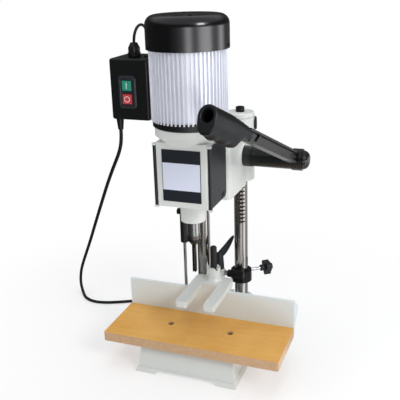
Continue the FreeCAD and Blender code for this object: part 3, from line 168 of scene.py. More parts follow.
@dataclass(frozen=True)
class Finish:
    """One real material, with noise that drives its tint, roughness and relief.

    Attributes:
        title: What the material is.
        colour: Its base colour, as an sRGB hex code.
        metallic: One for bare metal.
        roughness: Mean roughness.
        spread: How far the roughness wanders either way.
        coat: Weight of a clear gloss over it.
        grain_mm: Size of the relief.
        relief_mm: Depth of the relief.
        tint: How far the colour wanders, as a share of it.
        grain: Which way the relief runs.
        edge_mm: Radius that catches the light along its edges.
        shine: Specular level, half for a plain dielectric.
    """

    title: str
    colour: str
    metallic: float = 0.0
    roughness: float = 0.5
    spread: float = 0.06
    coat: float = 0.0
    grain_mm: float = 1.2
    relief_mm: float = 0.01
    tint: float = 0.03
    grain: Grain = Grain.EVEN
    edge_mm: float = 0.4
    shine: float = 0.5

    def make(self) -> bpy.types.Material:
        """Build the finish.

        Returns:
            The Blender material.
        """
        shader = Shader(self.title)
        where = shader.space(self.grain)
        fine = shader.add("ShaderNodeTexNoise", {
            "Vector": where, "Scale": 1 / (self.grain_mm * MM), "Detail": 3.0})
        mottle = shader.add("ShaderNodeTexNoise", {
            "Vector": where, "Scale": 1 / (self.grain_mm * MOTTLE_GRAINS * MM), "Detail": 2.0})
        red, green, blue, _ = linear(self.colour)
        dark, light = ([min(1.0, c * share) for c in (red, green, blue)] + [1.0]
                       for share in (1 - self.tint, 1 + self.tint))
        tone = shader.add("ShaderNodeMix", {0: mottle.outputs[0], 6: dark, 7: light},
                          data_type="RGBA")
        rough = shader.add("ShaderNodeMapRange", {
            "Value": mottle.outputs[0], "To Min": self.roughness - self.spread,
            "To Max": self.roughness + self.spread})
        edge = shader.add("ShaderNodeBevel", {"Radius": self.edge_mm * MM}, samples=6)
        bump = shader.add("ShaderNodeBump", {
            "Height": fine.outputs[0], "Strength": BUMP_STRENGTH,
            "Distance": self.relief_mm * MM, "Normal": edge.outputs[0]})
        shader.feed(shader.skin, {
            "Base Color": tone.outputs[2], "Roughness": rough.outputs[0],
            "Metallic": self.metallic, "Coat Weight": self.coat, "Coat Roughness": COAT_ROUGHNESS,
            "Specular IOR Level": self.shine, "Normal": bump.outputs[0]})
        return shader.material


class Material(Enum):
    """Every plain finish on the machine.

    Sand, orange peel, grinding lines and the mould's texture are finer than a render shows, so
    they are drawn as coarse as they need to show.
    """

    # The sand mould's pebbles show through the enamel, so highlights break up softly.
    CAST_PAINT = Finish("Sprayed off-white enamel on sand-cast iron", "#DCDFDB", roughness=0.42,
                        coat=0.25, grain_mm=3.2, relief_mm=0.05, tint=0.02)
    # Machined flat before painting, so it is plainer and duller than the castings.
    FENCE_PAINT = Finish("Grey enamel on machined casting", "#E3ECED", roughness=0.5,
                         grain_mm=1.6, relief_mm=0.02, tint=0.02)
    # A mirror-like black with long upright highlights and a faint orange peel.
    GLOSS_ENAMEL = Finish("Glossy black enamel on steel sheet", "#08090B", roughness=0.24,
                          coat=0.5, grain_mm=9.0, relief_mm=0.03, tint=0.0)
    # Soft grey sheen on black, on the motor's end castings and the strut.
    BLACK_ENAMEL = Finish("Satin black enamel", "#131416", roughness=0.42, grain_mm=1.0,
                          relief_mm=0.02)
    # Deep black with rounded bright edges, as on a die casting dipped in paint.
    CAST_LEVER = Finish("Black enamel on die casting", "#070808", roughness=0.34, coat=0.2,
                        grain_mm=2.5, relief_mm=0.03, tint=0.02, edge_mm=0.9)
    # Pale and cool, dulled by its oxide to part metal, with drawing lines along the fins.
    ALUMINIUM = Finish("Extruded bright aluminium", "#EDEFF7", metallic=0.3, roughness=0.36,
                       grain_mm=0.5, relief_mm=0.002, tint=0.015, grain=Grain.UPRIGHT)
    # Sharp upright streaks of light and dark, with fine grinding rings across them.
    GROUND_STEEL = Finish("Ground and polished steel bar", "#B3AFAA", metallic=1.0,
                          roughness=0.15, spread=0.04, grain_mm=0.35, relief_mm=0.003,
                          tint=0.05, grain=Grain.TURNED)
    # Darker than bar steel, stained by hardening.
    TOOL_STEEL = Finish("Hardened tool steel", "#5B5A58", metallic=1.0, roughness=0.3,
                        grain_mm=0.6, relief_mm=0.006, tint=0.12, grain=Grain.TURNED)
    # Even cool brightness on small fittings.
    ZINC = Finish("Bright zinc plate", "#BDBFC2", metallic=1.0, roughness=0.3, grain_mm=0.6,
                  relief_mm=0.004)
    # Nearly black, with a dull metal sheen; on the table screws this black is also painted shade for their
    # countersunk holes.
    BLACK_OXIDE_AND_HOLE_SHADE = Finish("Blackened steel", "#101113", metallic=0.5, roughness=0.45, grain_mm=0.8,
                         relief_mm=0.01)
    # Porous and brownish, without a mirror.
    BRONZE = Finish("Sintered bronze", "#9C7C4B", metallic=1.0, roughness=0.45, grain_mm=0.5,
                    relief_mm=0.008)
    # Dull grey, as stacked sheet looks from its edges.
    MOTOR_IRON = Finish("Laminated motor iron", "#55565A", metallic=0.8, roughness=0.55)
    # Fine texture of the mould, and soft edges that catch the light.
    SWITCH_PLASTIC = Finish("Fine-grained black ABS", "#101212", roughness=0.36, grain_mm=0.5,
                            relief_mm=0.012, edge_mm=1.0)
    # Smoky and glossy, a little lighter than the box behind it.
    CLEAR_GUARD = Finish("Smoked clear splash guard", "#2B2D33", roughness=0.12, coat=1.0,
                         grain_mm=4.0, relief_mm=0.03, tint=0.0, edge_mm=0.6)
    # Matt black of knobs and handles.
    BLACK_PLASTIC = Finish("Moulded black nylon", "#17181A", roughness=0.5, grain_mm=0.8,
                           relief_mm=0.015)
    # Handled smooth, with broad dim highlights and a slightly uneven tone.
    GRIP_PLASTIC = Finish("Dark grey moulded grip", "#141718", roughness=0.46, grain_mm=1.8,
                          relief_mm=0.03, tint=0.08, edge_mm=1.2, shine=0.35)
    # A shade lighter than the grip, matt and flat.
    DOOR_PLASTIC = Finish("Dark grey ABS door", "#1C2122", roughness=0.5, grain_mm=0.9,
                          relief_mm=0.02)
    # A strong blue-green with a small soft highlight.
    GREEN_BUTTON = Finish("Green push button", "#1E9678", roughness=0.35, coat=0.2)
    # A clear pinkish red with the same highlight.
    RED_BUTTON = Finish("Red push button", "#CC3B42", roughness=0.35, coat=0.2)
    # Flat white, with no relief of its own.
    MARK_INK = Finish("White printed mark", "#EAF1EF", roughness=0.5, relief_mm=0.0)
    # Soft black rubber that shows only a dim line of light.
    CORD_SHEATH = Finish("Black rubber sheath", "#141516", roughness=0.55, grain_mm=1.0,
                         relief_mm=0.02)
    # Plain drawn wire.
    SPRING = Finish("Spring wire", "#86898D", metallic=1.0, roughness=0.35)
    # Bright where the flutes were ground, darker between.
    BRIGHT_BIT = Finish("Ground flutes of a bit", "#B9B7B2", metallic=1.0, roughness=0.22,
                        grain_mm=0.8, relief_mm=0.01, tint=0.2)


Palette = dict[Material, bpy.types.Material]
Skins = dict[str, bpy.types.Material]


@dataclass(frozen=True)
class VarnishedBoard:
    """Varnished fibreboard: long faint grain on its face, raw chips on its sawn edges.

    Attributes:
        face: Dark and light stop of the varnished face, each with its place on the ramp.
        edge: Those of the sawn edges.
        fibre_mm: Width of the face's grain, drawn coarse enough to show.
        cloud_mm: Size of the face's broad mottle.
        chip_mm: Size of the edges' chips, drawn coarse enough to show.
        relief_mm: Depth of the grain.
        gloss: Lowest and highest roughness.
    """

    face: tuple[tuple[float, str], ...] = ((0.3, "#D09642"), (0.72, "#E7B562"))
    edge: tuple[tuple[float, str], ...] = ((0.35, "#C29A72"), (0.62, "#D3B08A"))
    fibre_mm: float = 3.846
    cloud_mm: float = 55.56
    chip_mm: float = 2.381
    relief_mm: float = 0.02
    gloss: Pair = (0.38, 0.55)

    def make(self) -> bpy.types.Material:
        """Build the board's material.

        Returns:
            The Blender material.
        """
        shader = Shader("Varnished fibreboard")
        fibre = shader.add("ShaderNodeTexNoise", {
            "Vector": shader.space(Grain.BOARD), "Scale": 1 / (self.fibre_mm * MM),
            "Detail": 6.0, "Roughness": 0.6}).outputs[0]
        cloud = shader.add("ShaderNodeTexNoise", {
            "Vector": shader.space(), "Scale": 1 / (self.cloud_mm * MM), "Detail": 3.0})
        chips = shader.add("ShaderNodeTexNoise", {
            "Vector": shader.space(), "Scale": 1 / (self.chip_mm * MM), "Detail": 4.0})
        both = shader.add("ShaderNodeMath", {0: fibre, 1: cloud.outputs[0]}, operation="ADD")
        mean = shader.add("ShaderNodeMath", {0: both.outputs[0], 1: 0.5}, operation="MULTIPLY")
        varnished = shader.add("ShaderNodeValToRGB", {0: mean.outputs[0]})
        set_stops(varnished.color_ramp, [(place, linear(code)) for place, code in self.face])
        sawn = shader.add("ShaderNodeValToRGB", {0: chips.outputs[0]})
        set_stops(sawn.color_ramp, [(place, linear(code)) for place, code in self.edge])
        facing = shader.add("ShaderNodeNewGeometry").outputs["Normal"]
        upright = shader.add("ShaderNodeSeparateXYZ", {0: facing}).outputs["Z"]
        top = shader.add("ShaderNodeMath", {0: upright, 1: 0.5}, operation="GREATER_THAN")
        tone = shader.add("ShaderNodeMix", {0: top.outputs[0], 6: sawn.outputs[0],
                                            7: varnished.outputs[0]}, data_type="RGBA")
        rough = shader.add("ShaderNodeMapRange", {
            "Value": fibre, "To Min": self.gloss[0], "To Max": self.gloss[1]})
        bump = shader.add("ShaderNodeBump", {"Height": fibre, "Strength": 0.5,
                                             "Distance": self.relief_mm * MM})
        shader.feed(shader.skin, {"Base Color": tone.outputs[2], "Roughness": rough.outputs[0],
                                  "Normal": bump.outputs[0]})
        return shader.material


@dataclass(frozen=True)
class PrintedPlate:
    """Printed aluminium plate: a bare pale field between two dark bands, with a thin dark rim.

    Attributes:
        field: Colour of the bare field.
        ink: Colour of the bands.
        top_share: Height of the top band, as a share of the plate's.
        foot_share: Height of the bottom band, as a share of the plate's.
        rim_mm: Width of the rim.
        roughness: Roughness of the lacquer.
    """

    field: str = "#DEE3F5"
    ink: str = "#1F242C"
    top_share: float = 0.251
    foot_share: float = 0.225
    rim_mm: float = 0.9
    roughness: float = 0.35

    def make(self, low: Vector, high: Vector) -> bpy.types.Material:
        """Build the plate's material.

        Args:
            low: The plate's lowest corner, in metres.
            high: Its highest corner.

        Returns:
            The Blender material.
        """
        shader = Shader("Printed aluminium plate")
        where = shader.add("ShaderNodeSeparateXYZ", {0: shader.space()})
        span = high.z - low.z
        upper = shader.add("ShaderNodeMath", {
            0: where.outputs["Z"], 1: high.z - self.top_share * span}, operation="GREATER_THAN")
        lower = shader.add("ShaderNodeMath", {
            0: where.outputs["Z"], 1: low.z + self.foot_share * span}, operation="LESS_THAN")
        bands = shader.add("ShaderNodeMath", {0: upper.outputs[0], 1: lower.outputs[0]},
                           operation="MAXIMUM")
        across = shader.add("ShaderNodeMath", {0: where.outputs["X"], 1: (low.x + high.x) / 2},
                            operation="SUBTRACT")
        out = shader.add("ShaderNodeMath", {0: across.outputs[0]}, operation="ABSOLUTE")
        rim = shader.add("ShaderNodeMath", {
            0: out.outputs[0], 1: (high.x - low.x) / 2 - self.rim_mm * MM},
            operation="GREATER_THAN")
        inked = shader.add("ShaderNodeMath", {0: bands.outputs[0], 1: rim.outputs[0]},
                           operation="MAXIMUM")
        tone = shader.add("ShaderNodeMix", {
            0: inked.outputs[0], 6: linear(self.field), 7: linear(self.ink)}, data_type="RGBA")
        shader.feed(shader.skin, {"Base Color": tone.outputs[2], "Roughness": self.roughness})
        return shader.material


@dataclass(frozen=True)
class ScaledSteel:
    """Tool steel that is scaled on the blade, dark on the cone and ground bright on the shank.

    Attributes:
        tones: Colour and roughness of each stretch, from the points up.
        steps_mm: Height above the points where each following stretch starts.
        mottle_mm: Size of the stains.
        stain: How strongly the stains darken the steel.
        relief_mm: Depth of the scale.
    """

    tones: tuple[tuple[str, float], ...] = (
        ("#6E6B66", 0.24), ("#4A4844", 0.34), ("#85807A", 0.36), ("#D2D1CE", 0.14))
    steps_mm: tuple[float, ...] = (52.0, 66.0, 73.0)
    mottle_mm: float = 1.111
    stain: float = 0.6
    relief_mm: float = 0.01

    def make(self, tip: float) -> bpy.types.Material:
        """Build the chisel's material.

        Args:
            tip: Height of the chisel's points, in metres.

        Returns:
            The Blender material.
        """
        shader = Shader("Ground and scaled tool steel")
        height = shader.add("ShaderNodeSeparateXYZ", {0: shader.space()}).outputs["Z"]
        mottle = shader.add("ShaderNodeTexNoise", {
            "Vector": shader.space(Grain.TURNED), "Scale": 1 / (self.mottle_mm * MM)})
        colour, roughness = self.tones[0]
        tone, rough = linear(colour), roughness
        for (colour, roughness), step in zip(self.tones[1:], self.steps_mm):
            above = shader.add("ShaderNodeMath", {0: height, 1: tip + step * MM},
                               operation="GREATER_THAN").outputs[0]
            tone = shader.add("ShaderNodeMix", {0: above, 6: tone, 7: linear(colour)},
                              data_type="RGBA").outputs[2]
            rough = shader.add("ShaderNodeMix", {0: above, 2: rough, 3: roughness}).outputs[0]
        worn = shader.add("ShaderNodeMix", {
            0: self.stain, 6: tone, 7: mottle.outputs["Color"]},
            data_type="RGBA", blend_type="MULTIPLY")
        bump = shader.add("ShaderNodeBump", {"Height": mottle.outputs[0], "Strength": 0.3,
                                             "Distance": self.relief_mm * MM})
        shader.feed(shader.skin, {"Base Color": worn.outputs[2], "Roughness": rough,
                                  "Metallic": 1.0, "Normal": bump.outputs[0]})
        return shader.material


# ---------------------------------------------------------------- meshes

def circle(radius: float, points: int) -> list[Pair]:
    """Return a circle round the origin as pairs."""
    turns = [2 * math.pi * step / points for step in range(points)]
    return [(radius * math.cos(turn), radius * math.sin(turn)) for turn in turns]


def soften(mesh: bpy.types.Mesh, degrees: float = 32) -> None:
    """Shade a mesh smoothly but keep its corners sharp.

    Args:
        mesh: The mesh.
        degrees: Edges that turn by more than this stay sharp.
    """
    work = bmesh.new()
    work.from_mesh(mesh)
    for face in work.faces:
        face.smooth = True
    for edge in work.edges:
        edge.smooth = len(edge.link_faces) == 2 and edge.calc_face_angle(0) < math.radians(degrees)
    work.to_mesh(mesh)
    work.free()


def turn_outwards(mesh: bpy.types.Mesh, merge: float = 0.0) -> None:
    """Point a mesh's faces outwards.

    Args:
        mesh: The mesh.
        merge: Corners nearer than this many metres are made one first.
    """
    work = bmesh.new()
    work.from_mesh(mesh)
    if merge:
        bmesh.ops.remove_doubles(work, verts=work.verts, dist=merge)
    bmesh.ops.recalc_face_normals(work, faces=work.faces)
    work.to_mesh(mesh)
    work.free()


def loft(name: str, rings: Sequence[Ring], closed: bool = False) -> bpy.types.Mesh:
    """Skin a row of rings that all have the same number of points.

    Args:
        name: The mesh's name.
        rings: Rings of points in metres.
        closed: Join the last ring to the first; if not, both ends get a flat cap.

    Returns:
        The mesh.
    """
    corners = len(rings[0])
    laps = [(row, row + 1) for row in range(len(rings) - 1)]
    if closed:
        laps.append((len(rings) - 1, 0))
    faces = [(row * corners + step, row * corners + (step + 1) % corners,
              after * corners + (step + 1) % corners, after * corners + step)
             for row, after in laps for step in range(corners)]
    if not closed:
        last = (len(rings) - 1) * corners
        faces.append(tuple(range(corners)))
        faces.append(tuple(range(last + corners - 1, last - 1, -1)))
    mesh = bpy.data.meshes.new(name)
    mesh.from_pydata([point for ring in rings for point in ring], [], faces)
    turn_outwards(mesh)
    soften(mesh)
    return mesh


def rounded_outline(width: float, height: float, corner: float, steps: int = 8) -> list[Pair]:
    """Draw a rounded rectangle round the origin.

    Args:
        width: Its width in millimetres.
        height: Its height in millimetres.
        corner: Radius of its corners in millimetres.
        steps: How many steps round each corner.

    Returns:
        The outline as (across, up) pairs.
    """
    outline = []
    for quarter, (side, rise) in enumerate(((1, 1), (-1, 1), (-1, -1), (1, -1))):
        for step in range(steps + 1):
            turn = math.pi / 2 * quarter + math.pi / 2 * step / steps
            outline.append((side * (width / 2 - corner) + corner * math.cos(turn),
                            rise * (height / 2 - corner) + corner * math.sin(turn)))
    return outline


def stamped(name: str, outlines: Sequence[Sequence[Pair]], thick: float, edge: float,
            place: Place) -> bpy.types.Mesh:
    """Make a flat plate with rounded edges that faces the front, from outlines and holes.

    Args:
        name: The mesh's name.
        outlines: Closed outlines in millimetres, holes among them.
        thick: Its thickness in millimetres.
        edge: Rounding of its edges in millimetres.
        place: The middle of its back face, in millimetres.

    Returns:
        The mesh.
    """
    curve = bpy.data.curves.new(name, "CURVE")
    curve.dimensions = "2D"
    curve.fill_mode = "BOTH"
    curve.extrude = (thick / 2 - edge) * MM
    curve.bevel_depth = edge * MM
    curve.bevel_resolution = 3
    for outline in outlines:
        spline = curve.splines.new("POLY")
        spline.points.add(len(outline) - 1)
        for knot, (across, up) in zip(spline.points, outline):
            knot.co = (across * MM, up * MM, 0, 1)
        spline.use_cyclic_u = True
    mesh = baked(curve)
    mesh.transform(Matrix.Translation((place[0] * MM, (place[1] - thick / 2) * MM, place[2] * MM))
                   @ Matrix.Rotation(math.pi / 2, 4, "X"))
    turn_outwards(mesh, merge=1e-6)
    soften(mesh)
    return mesh


def baked(curve: bpy.types.Curve) -> bpy.types.Mesh:
    """Turn a curve into a mesh.

    Args:
        curve: The curve.

    Returns:
        The mesh that Blender makes of it.
    """
    holder = bpy.data.objects.new(curve.name + "Holder", curve)
    bpy.context.scene.collection.objects.link(holder)
    bpy.context.view_layer.update()
    mesh = bpy.data.meshes.new_from_object(holder)
    bpy.data.objects.remove(holder)
    return mesh


def eased(rows: Sequence[Sequence[float]], steps: int) -> list[Sequence[float]]:
    """Set smoothly curved rows between rows of numbers.

    Args:
        rows: Rows that all have the same number of values.
        steps: How many rows each gap is divided into.

    Returns:
        The filled list of rows.
    """
    filled = []
    for index in range(len(rows) - 1):
        before, after = rows[max(index - 1, 0)], rows[min(index + 2, len(rows) - 1)]
        for step in range(steps):
            share = step / steps
            filled.append([0.5 * (2 * b + (c - a) * share + (2 * a - 5 * b + 4 * c - d) * share ** 2
                                  + (3 * b - a - 3 * c + d) * share ** 3)
                           for a, b, c, d in zip(before, rows[index], rows[index + 1], after)])
    filled.append(rows[-1])
    return filled


# ---------------------------------------------------------------- sub-assemblies

def piece(name: str, mesh: bpy.types.Mesh, material: bpy.types.Material, body: str | None) -> bpy.types.Object:
    """Make an object that rides on a body.

    Args:
        name: The object's name.
        mesh: Its mesh, in the row frame.
        material: Its only material.
        body: The CAD body that it moves with, or none for a piece that is not attached to one.

    Returns:
        The object.
    """
    item = bpy.data.objects.new(name, mesh)
    bpy.context.scene.collection.objects.link(item)
    mesh.materials.clear()
    mesh.materials.append(material)
    if body:
        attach(item, body)
    return item


class SubAssembly:
    """Pieces of the machine that belong together.

    Attributes:
        WEARS: The CAD nodes that wear each plain finish.
    """

    WEARS: ClassVar[dict[Material, tuple[str, ...]]] = {}

    def finishes(self, palette: Palette) -> Skins:
        """Return each CAD node's material by the node's name."""
        return {name: palette[finish] for finish, names in self.WEARS.items() for name in names}

    def dress(self, palette: Palette) -> list[str]:
        """Give each CAD node its only material.

        Args:
            palette: Blender materials by finish.

        Returns:
            The nodes' names.
        """
        skins = self.finishes(palette)
        for name, material in skins.items():
            NODES[name].data.materials.clear()
            NODES[name].data.materials.append(material)
        return list(skins)

    def build(self, palette: Palette) -> list[bpy.types.Object]:
        """Return the new pieces: a plain sub-assembly has none."""
        return []


@dataclass(frozen=True)
class Base(SubAssembly):
    """The casting on the bench, its table, columns and the strut's rod.

    Attributes:
        board: The table's material.
    """

    WEARS: ClassVar[dict[Material, tuple[str, ...]]] = {
        Material.CAST_PAINT: ("base_casting", "column_caps"),
        Material.GROUND_STEEL: ("rack_column", "guide_column", "strut_rod"),
        # The table screws' black is partly painted shade: it stands for the shade down in their countersunk
        # holes.
        Material.BLACK_OXIDE_AND_HOLE_SHADE: ("column_cap_bolts", "strut_foot", "table_screws"),
    }
    board: VarnishedBoard = VarnishedBoard()

    def finishes(self, palette: Palette) -> Skins:
        """Return each CAD node's material, the board's its own."""
        return super().finishes(palette) | {"table_board": self.board.make()}


class Fence(SubAssembly):
    """The fence with its guide bar and lock knob."""

    WEARS: ClassVar[dict[Material, tuple[str, ...]]] = {
        Material.FENCE_PAINT: ("fence",),
        Material.GROUND_STEEL: ("fence_guide_bar",),
        Material.BLACK_PLASTIC: ("fence_lock_knob",),
    }


class Doors(SubAssembly):
    """The two chuck doors and their pins."""

    WEARS: ClassVar[dict[Material, tuple[str, ...]]] = {
        Material.DOOR_PLASTIC: ("right_chuck_door", "left_chuck_door"),
        Material.CAST_PAINT: ("door_hinge_pins",),
    }


class Motor(SubAssembly):
    """The motor on the head, with its fan under the cowl."""

    WEARS: ClassVar[dict[Material, tuple[str, ...]]] = {
        Material.ALUMINIUM: ("motor_body",),
        Material.GLOSS_ENAMEL: ("fan_cowl",),
        Material.BLACK_ENAMEL: ("motor_end_ring", "motor_top_bell"),
        Material.BLACK_OXIDE_AND_HOLE_SHADE: ("cowl_screws",),
        Material.MOTOR_IRON: ("stator", "rotor"),
        Material.GROUND_STEEL: ("motor_bearings", "motor_shaft"),
        Material.BLACK_PLASTIC: ("cooling_fan",),
    }


@dataclass(frozen=True)
class Head(SubAssembly):
    """The casting that slides on the columns, its plate and the strut's cylinder.

    Attributes:
        plate: The plate's print.
    """

    WEARS: ClassVar[dict[Material, tuple[str, ...]]] = {
        Material.CAST_PAINT: ("head_casting",),
        Material.BRONZE: ("column_bushes",),
        Material.BLACK_PLASTIC: ("barrel_plug",),
        Material.BLACK_ENAMEL: ("strut_cylinder",),
        Material.ZINC: ("strut_bracket",),
    }
    plate: PrintedPlate = PrintedPlate()

    def finishes(self, palette: Palette) -> Skins:
        """Return each CAD node's material, the plate's its print."""
        return super().finishes(palette) | {"label_plate": self.plate.make(*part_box("label_plate"))}


@dataclass(frozen=True)
class Tooling(SubAssembly):
    """The chisel in its bushing, and the auger bit in the chuck.

    Attributes:
        steel: The chisel's material.
        flute: Length of the bit's flutes, in metres.
        pitch: Height of one twist, in metres.
        web: Thickness of the fluted section, as a share of its width.
        rise: Height between two rings, in metres.
        corners: Corners of a ring.
        point: Width of the very tip, as a share of the whole.
        point_tall: Height over which the tip grows by the whole width, in metres.
        runout: Height over which the flutes run out, in metres.
        shank: Width of the round shank, as a share of the whole.
        bevel: Height of the shank's bevel, in metres.
        crown: Width of the shank's very top, as a share of the whole.
    """

    WEARS: ClassVar[dict[Material, tuple[str, ...]]] = {
        Material.GROUND_STEEL: ("chuck", "chisel_bushing"),
        Material.BLACK_OXIDE_AND_HOLE_SHADE: ("chisel_lock_screw",),
        Material.TOOL_STEEL: ("auger_bit",),
    }
    steel: ScaledSteel = ScaledSteel()
    flute: float = 0.088
    pitch: float = 0.011
    web: float = 0.42
    rise: float = 0.0005
    corners: int = 20
    point: float = 0.12
    point_tall: float = 0.0025
    runout: float = 0.001
    shank: float = 0.99
    bevel: float = 0.0004
    crown: float = 0.85

    def finishes(self, palette: Palette) -> Skins:
        """Return each CAD node's material, the chisel's its own."""
        return super().finishes(palette) | {"chisel": self.steel.make(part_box("chisel")[0].z)}

    def bit_rings(self) -> list[Ring]:
        """Shape the bit: a lead point, two twisted flutes and a round shank.

        Returns:
            Its rings from the point up.
        """
        low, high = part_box("auger_bit")
        centre = (low + high) / 2
        radius = (high.x - low.x) / 2
        rings = []
        for index in range(round(self.flute / self.rise)):
            up = self.rise * index
            turn = Matrix.Rotation(2 * math.pi * (low.z + up) / self.pitch, 3, "Z")
            reach = min(1.0, self.point + up / self.point_tall)
            axis = Vector((centre.x, centre.y, low.z + up))
            rings.append([axis + turn @ Vector((x, y * self.web, 0)) * reach
                          for x, y in circle(radius, self.corners)])
        for up, share in ((low.z + self.flute + self.runout, self.shank),
                          (high.z - self.bevel, self.shank), (high.z, self.crown)):
            rings.append([Vector((centre.x + x, centre.y + y, up))
                          for x, y in circle(radius * share, self.corners)])
        return rings

    def build(self, palette: Palette) -> list[bpy.types.Object]:
        """Replace the bit by a fluted one.

        Args:
            palette: Blender materials by finish.

        Returns:
            The bit.
        """
        bit = piece("AugerBit", loft("AugerBit", self.bit_rings()), palette[Material.BRIGHT_BIT],
                    "spindle")
        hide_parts("auger_bit")
        return [bit]


@dataclass(frozen=True)
class Feed(SubAssembly):
    """The pinion and the feed lever with its moulded grip.

    Attributes:
        hinge: Where the arm's line meets the hub, in millimetres.
        inward: How far the arm leans in, in millimetres over its reach.
        reach: Its reach in millimetres.
        rise: Its rise above level, in degrees.
        start: Where the grip starts along the arm, in millimetres.
        length: The grip's length in millimetres.
        neck: Radius of the grip's tube at the arm, in millimetres.
        flare: How much wider the tube gets, in millimetres.
        flare_over: Length over which it widens, in millimetres.
        flare_power: How soon it widens: one for a straight flare, less for a sooner one.
        swell_from: Where the finger side starts to swell, in millimetres.
        swell_over: Length over which it swells, in millimetres.
        belly: How far the finger side stands down, in millimetres.
        finger: Depth of the finger swells, in millimetres.
        finger_share: Length of a finger swell, as a share of the grip's.
        finger_first: Middle of the first swell, as a share of the grip's length.
        finger_zone: Where the swells start and end, as shares of the grip's length.
        waist: How much narrower the finger side is, in millimetres.
        side_square: How square the finger side's flanks are, from none to one.
        foot_square: How square its foot is, from none to one.
        rim: Share that both ends are rounded in by.
        bore: Place along the grip and radius of each step of its bore, in millimetres.
        rings: How many rings the outside has.
        corners: Corners of a ring.
    """

    WEARS: ClassVar[dict[Material, tuple[str, ...]]] = {
        Material.GROUND_STEEL: ("pinion_shaft",),
        Material.CAST_LEVER: ("feed_lever", "hub_cap", "index_collar"),
        Material.SPRING: ("index_spring",),
        Material.GRIP_PLASTIC: ("lever_grip",),
    }
    hinge: Place = (160, 54, 387)
    inward: float = 75
    reach: float = 305
    rise: float = 26.5
    start: float = 196.09
    length: float = 118.0
    neck: float = 10.5
    flare: float = 6.6
    flare_over: float = 62
    flare_power: float = 0.6
    swell_from: float = 14
    swell_over: float = 28
    belly: float = 11.8
    finger: float = 3.4
    finger_share: float = 0.23
    finger_first: float = 0.37
    finger_zone: Pair = (0.25, 0.95)
    waist: float = 3.5
    side_square: float = 0.45
    foot_square: float = 0.25
    rim: float = 0.1
    bore: tuple[Pair, ...] = ((0.0, 8.1), (40.0, 8.1), (40.0, 10.0), (116.5, 10.6), (118.0, 11.9))
    rings: int = 60
    corners: int = 64

    def at(self, along: float, across: float, up: float) -> Vector:
        """Turn a point of the grip's own frame into a place.

        Args:
            along: Distance from the grip's arm end, in millimetres.
            across: Distance to its right, in millimetres.
            up: Distance above its middle, in millimetres.

        Returns:
            The place in metres.
        """
        rise = math.radians(self.rise)
        run = Vector((-self.inward, -self.reach * math.cos(rise), self.reach * math.sin(rise)))
        run.normalize()
        side = Vector((1, 0, 0)) - run * run.x
        side.normalize()
        return (Vector(self.hinge) + run * (self.start + along) + side * across
                + run.cross(side) * up) * MM

    def section(self, along: float) -> list[Pair]:
        """Draw the grip's section: a round tube above, finger swells below.

        Args:
            along: Distance from its arm end, in millimetres.

        Returns:
            The section as (across, up) pairs.
        """
        share = along / self.length
        radius = self.neck + self.flare * min(1.0, along / self.flare_over) ** self.flare_power
        swell = max(0.0, min(1.0, (along - self.swell_from) / self.swell_over))
        swell = swell * swell * (3 - 2 * swell)
        wave = 0.5 + 0.5 * math.cos(2 * math.pi * (share - self.finger_first) / self.finger_share)
        fingers = self.finger * wave if self.finger_zone[0] < share < self.finger_zone[1] else 0.0
        drop = radius + swell * (self.belly + fingers)
        outline = []
        for across, up in circle(1.0, self.corners):
            if up >= 0:
                outline.append((radius * across, radius * up))
                continue
            width = radius - swell * self.waist * up ** 2
            flank = abs(across) ** (1 - self.side_square * swell)
            foot = (-up) ** (1 - self.foot_square * swell)
            outline.append((math.copysign(width * flank, across), -drop * foot))
        return outline

    def grip_rings(self) -> list[Ring]:
        """Shape the grip's skin.

        Returns:
            The rings of its outside from the arm end on, then those of its bore back again.
        """
        rings = []
        for step in range(self.rings):
            inset = 1.0 - self.rim if step in (0, self.rings - 1) else 1.0
            along = self.length * step / (self.rings - 1)
            rings.append([self.at(along, across * inset, up * inset)
                          for across, up in self.section(along)])
        for along, radius in reversed(self.bore):
            rings.append([self.at(along, x, y) for x, y in circle(radius, self.corners)])
        return rings

    def build(self, palette: Palette) -> list[bpy.types.Object]:
        """Replace the grip by a smooth moulded one with a hollow end.

        Args:
            palette: Blender materials by finish.

        Returns:
            The grip.
        """
        grip = piece("LeverGrip", loft("LeverGrip", self.grip_rings(), closed=True),
                     palette[Material.GRIP_PLASTIC], "lever")
        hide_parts("lever_grip")
        return [grip]


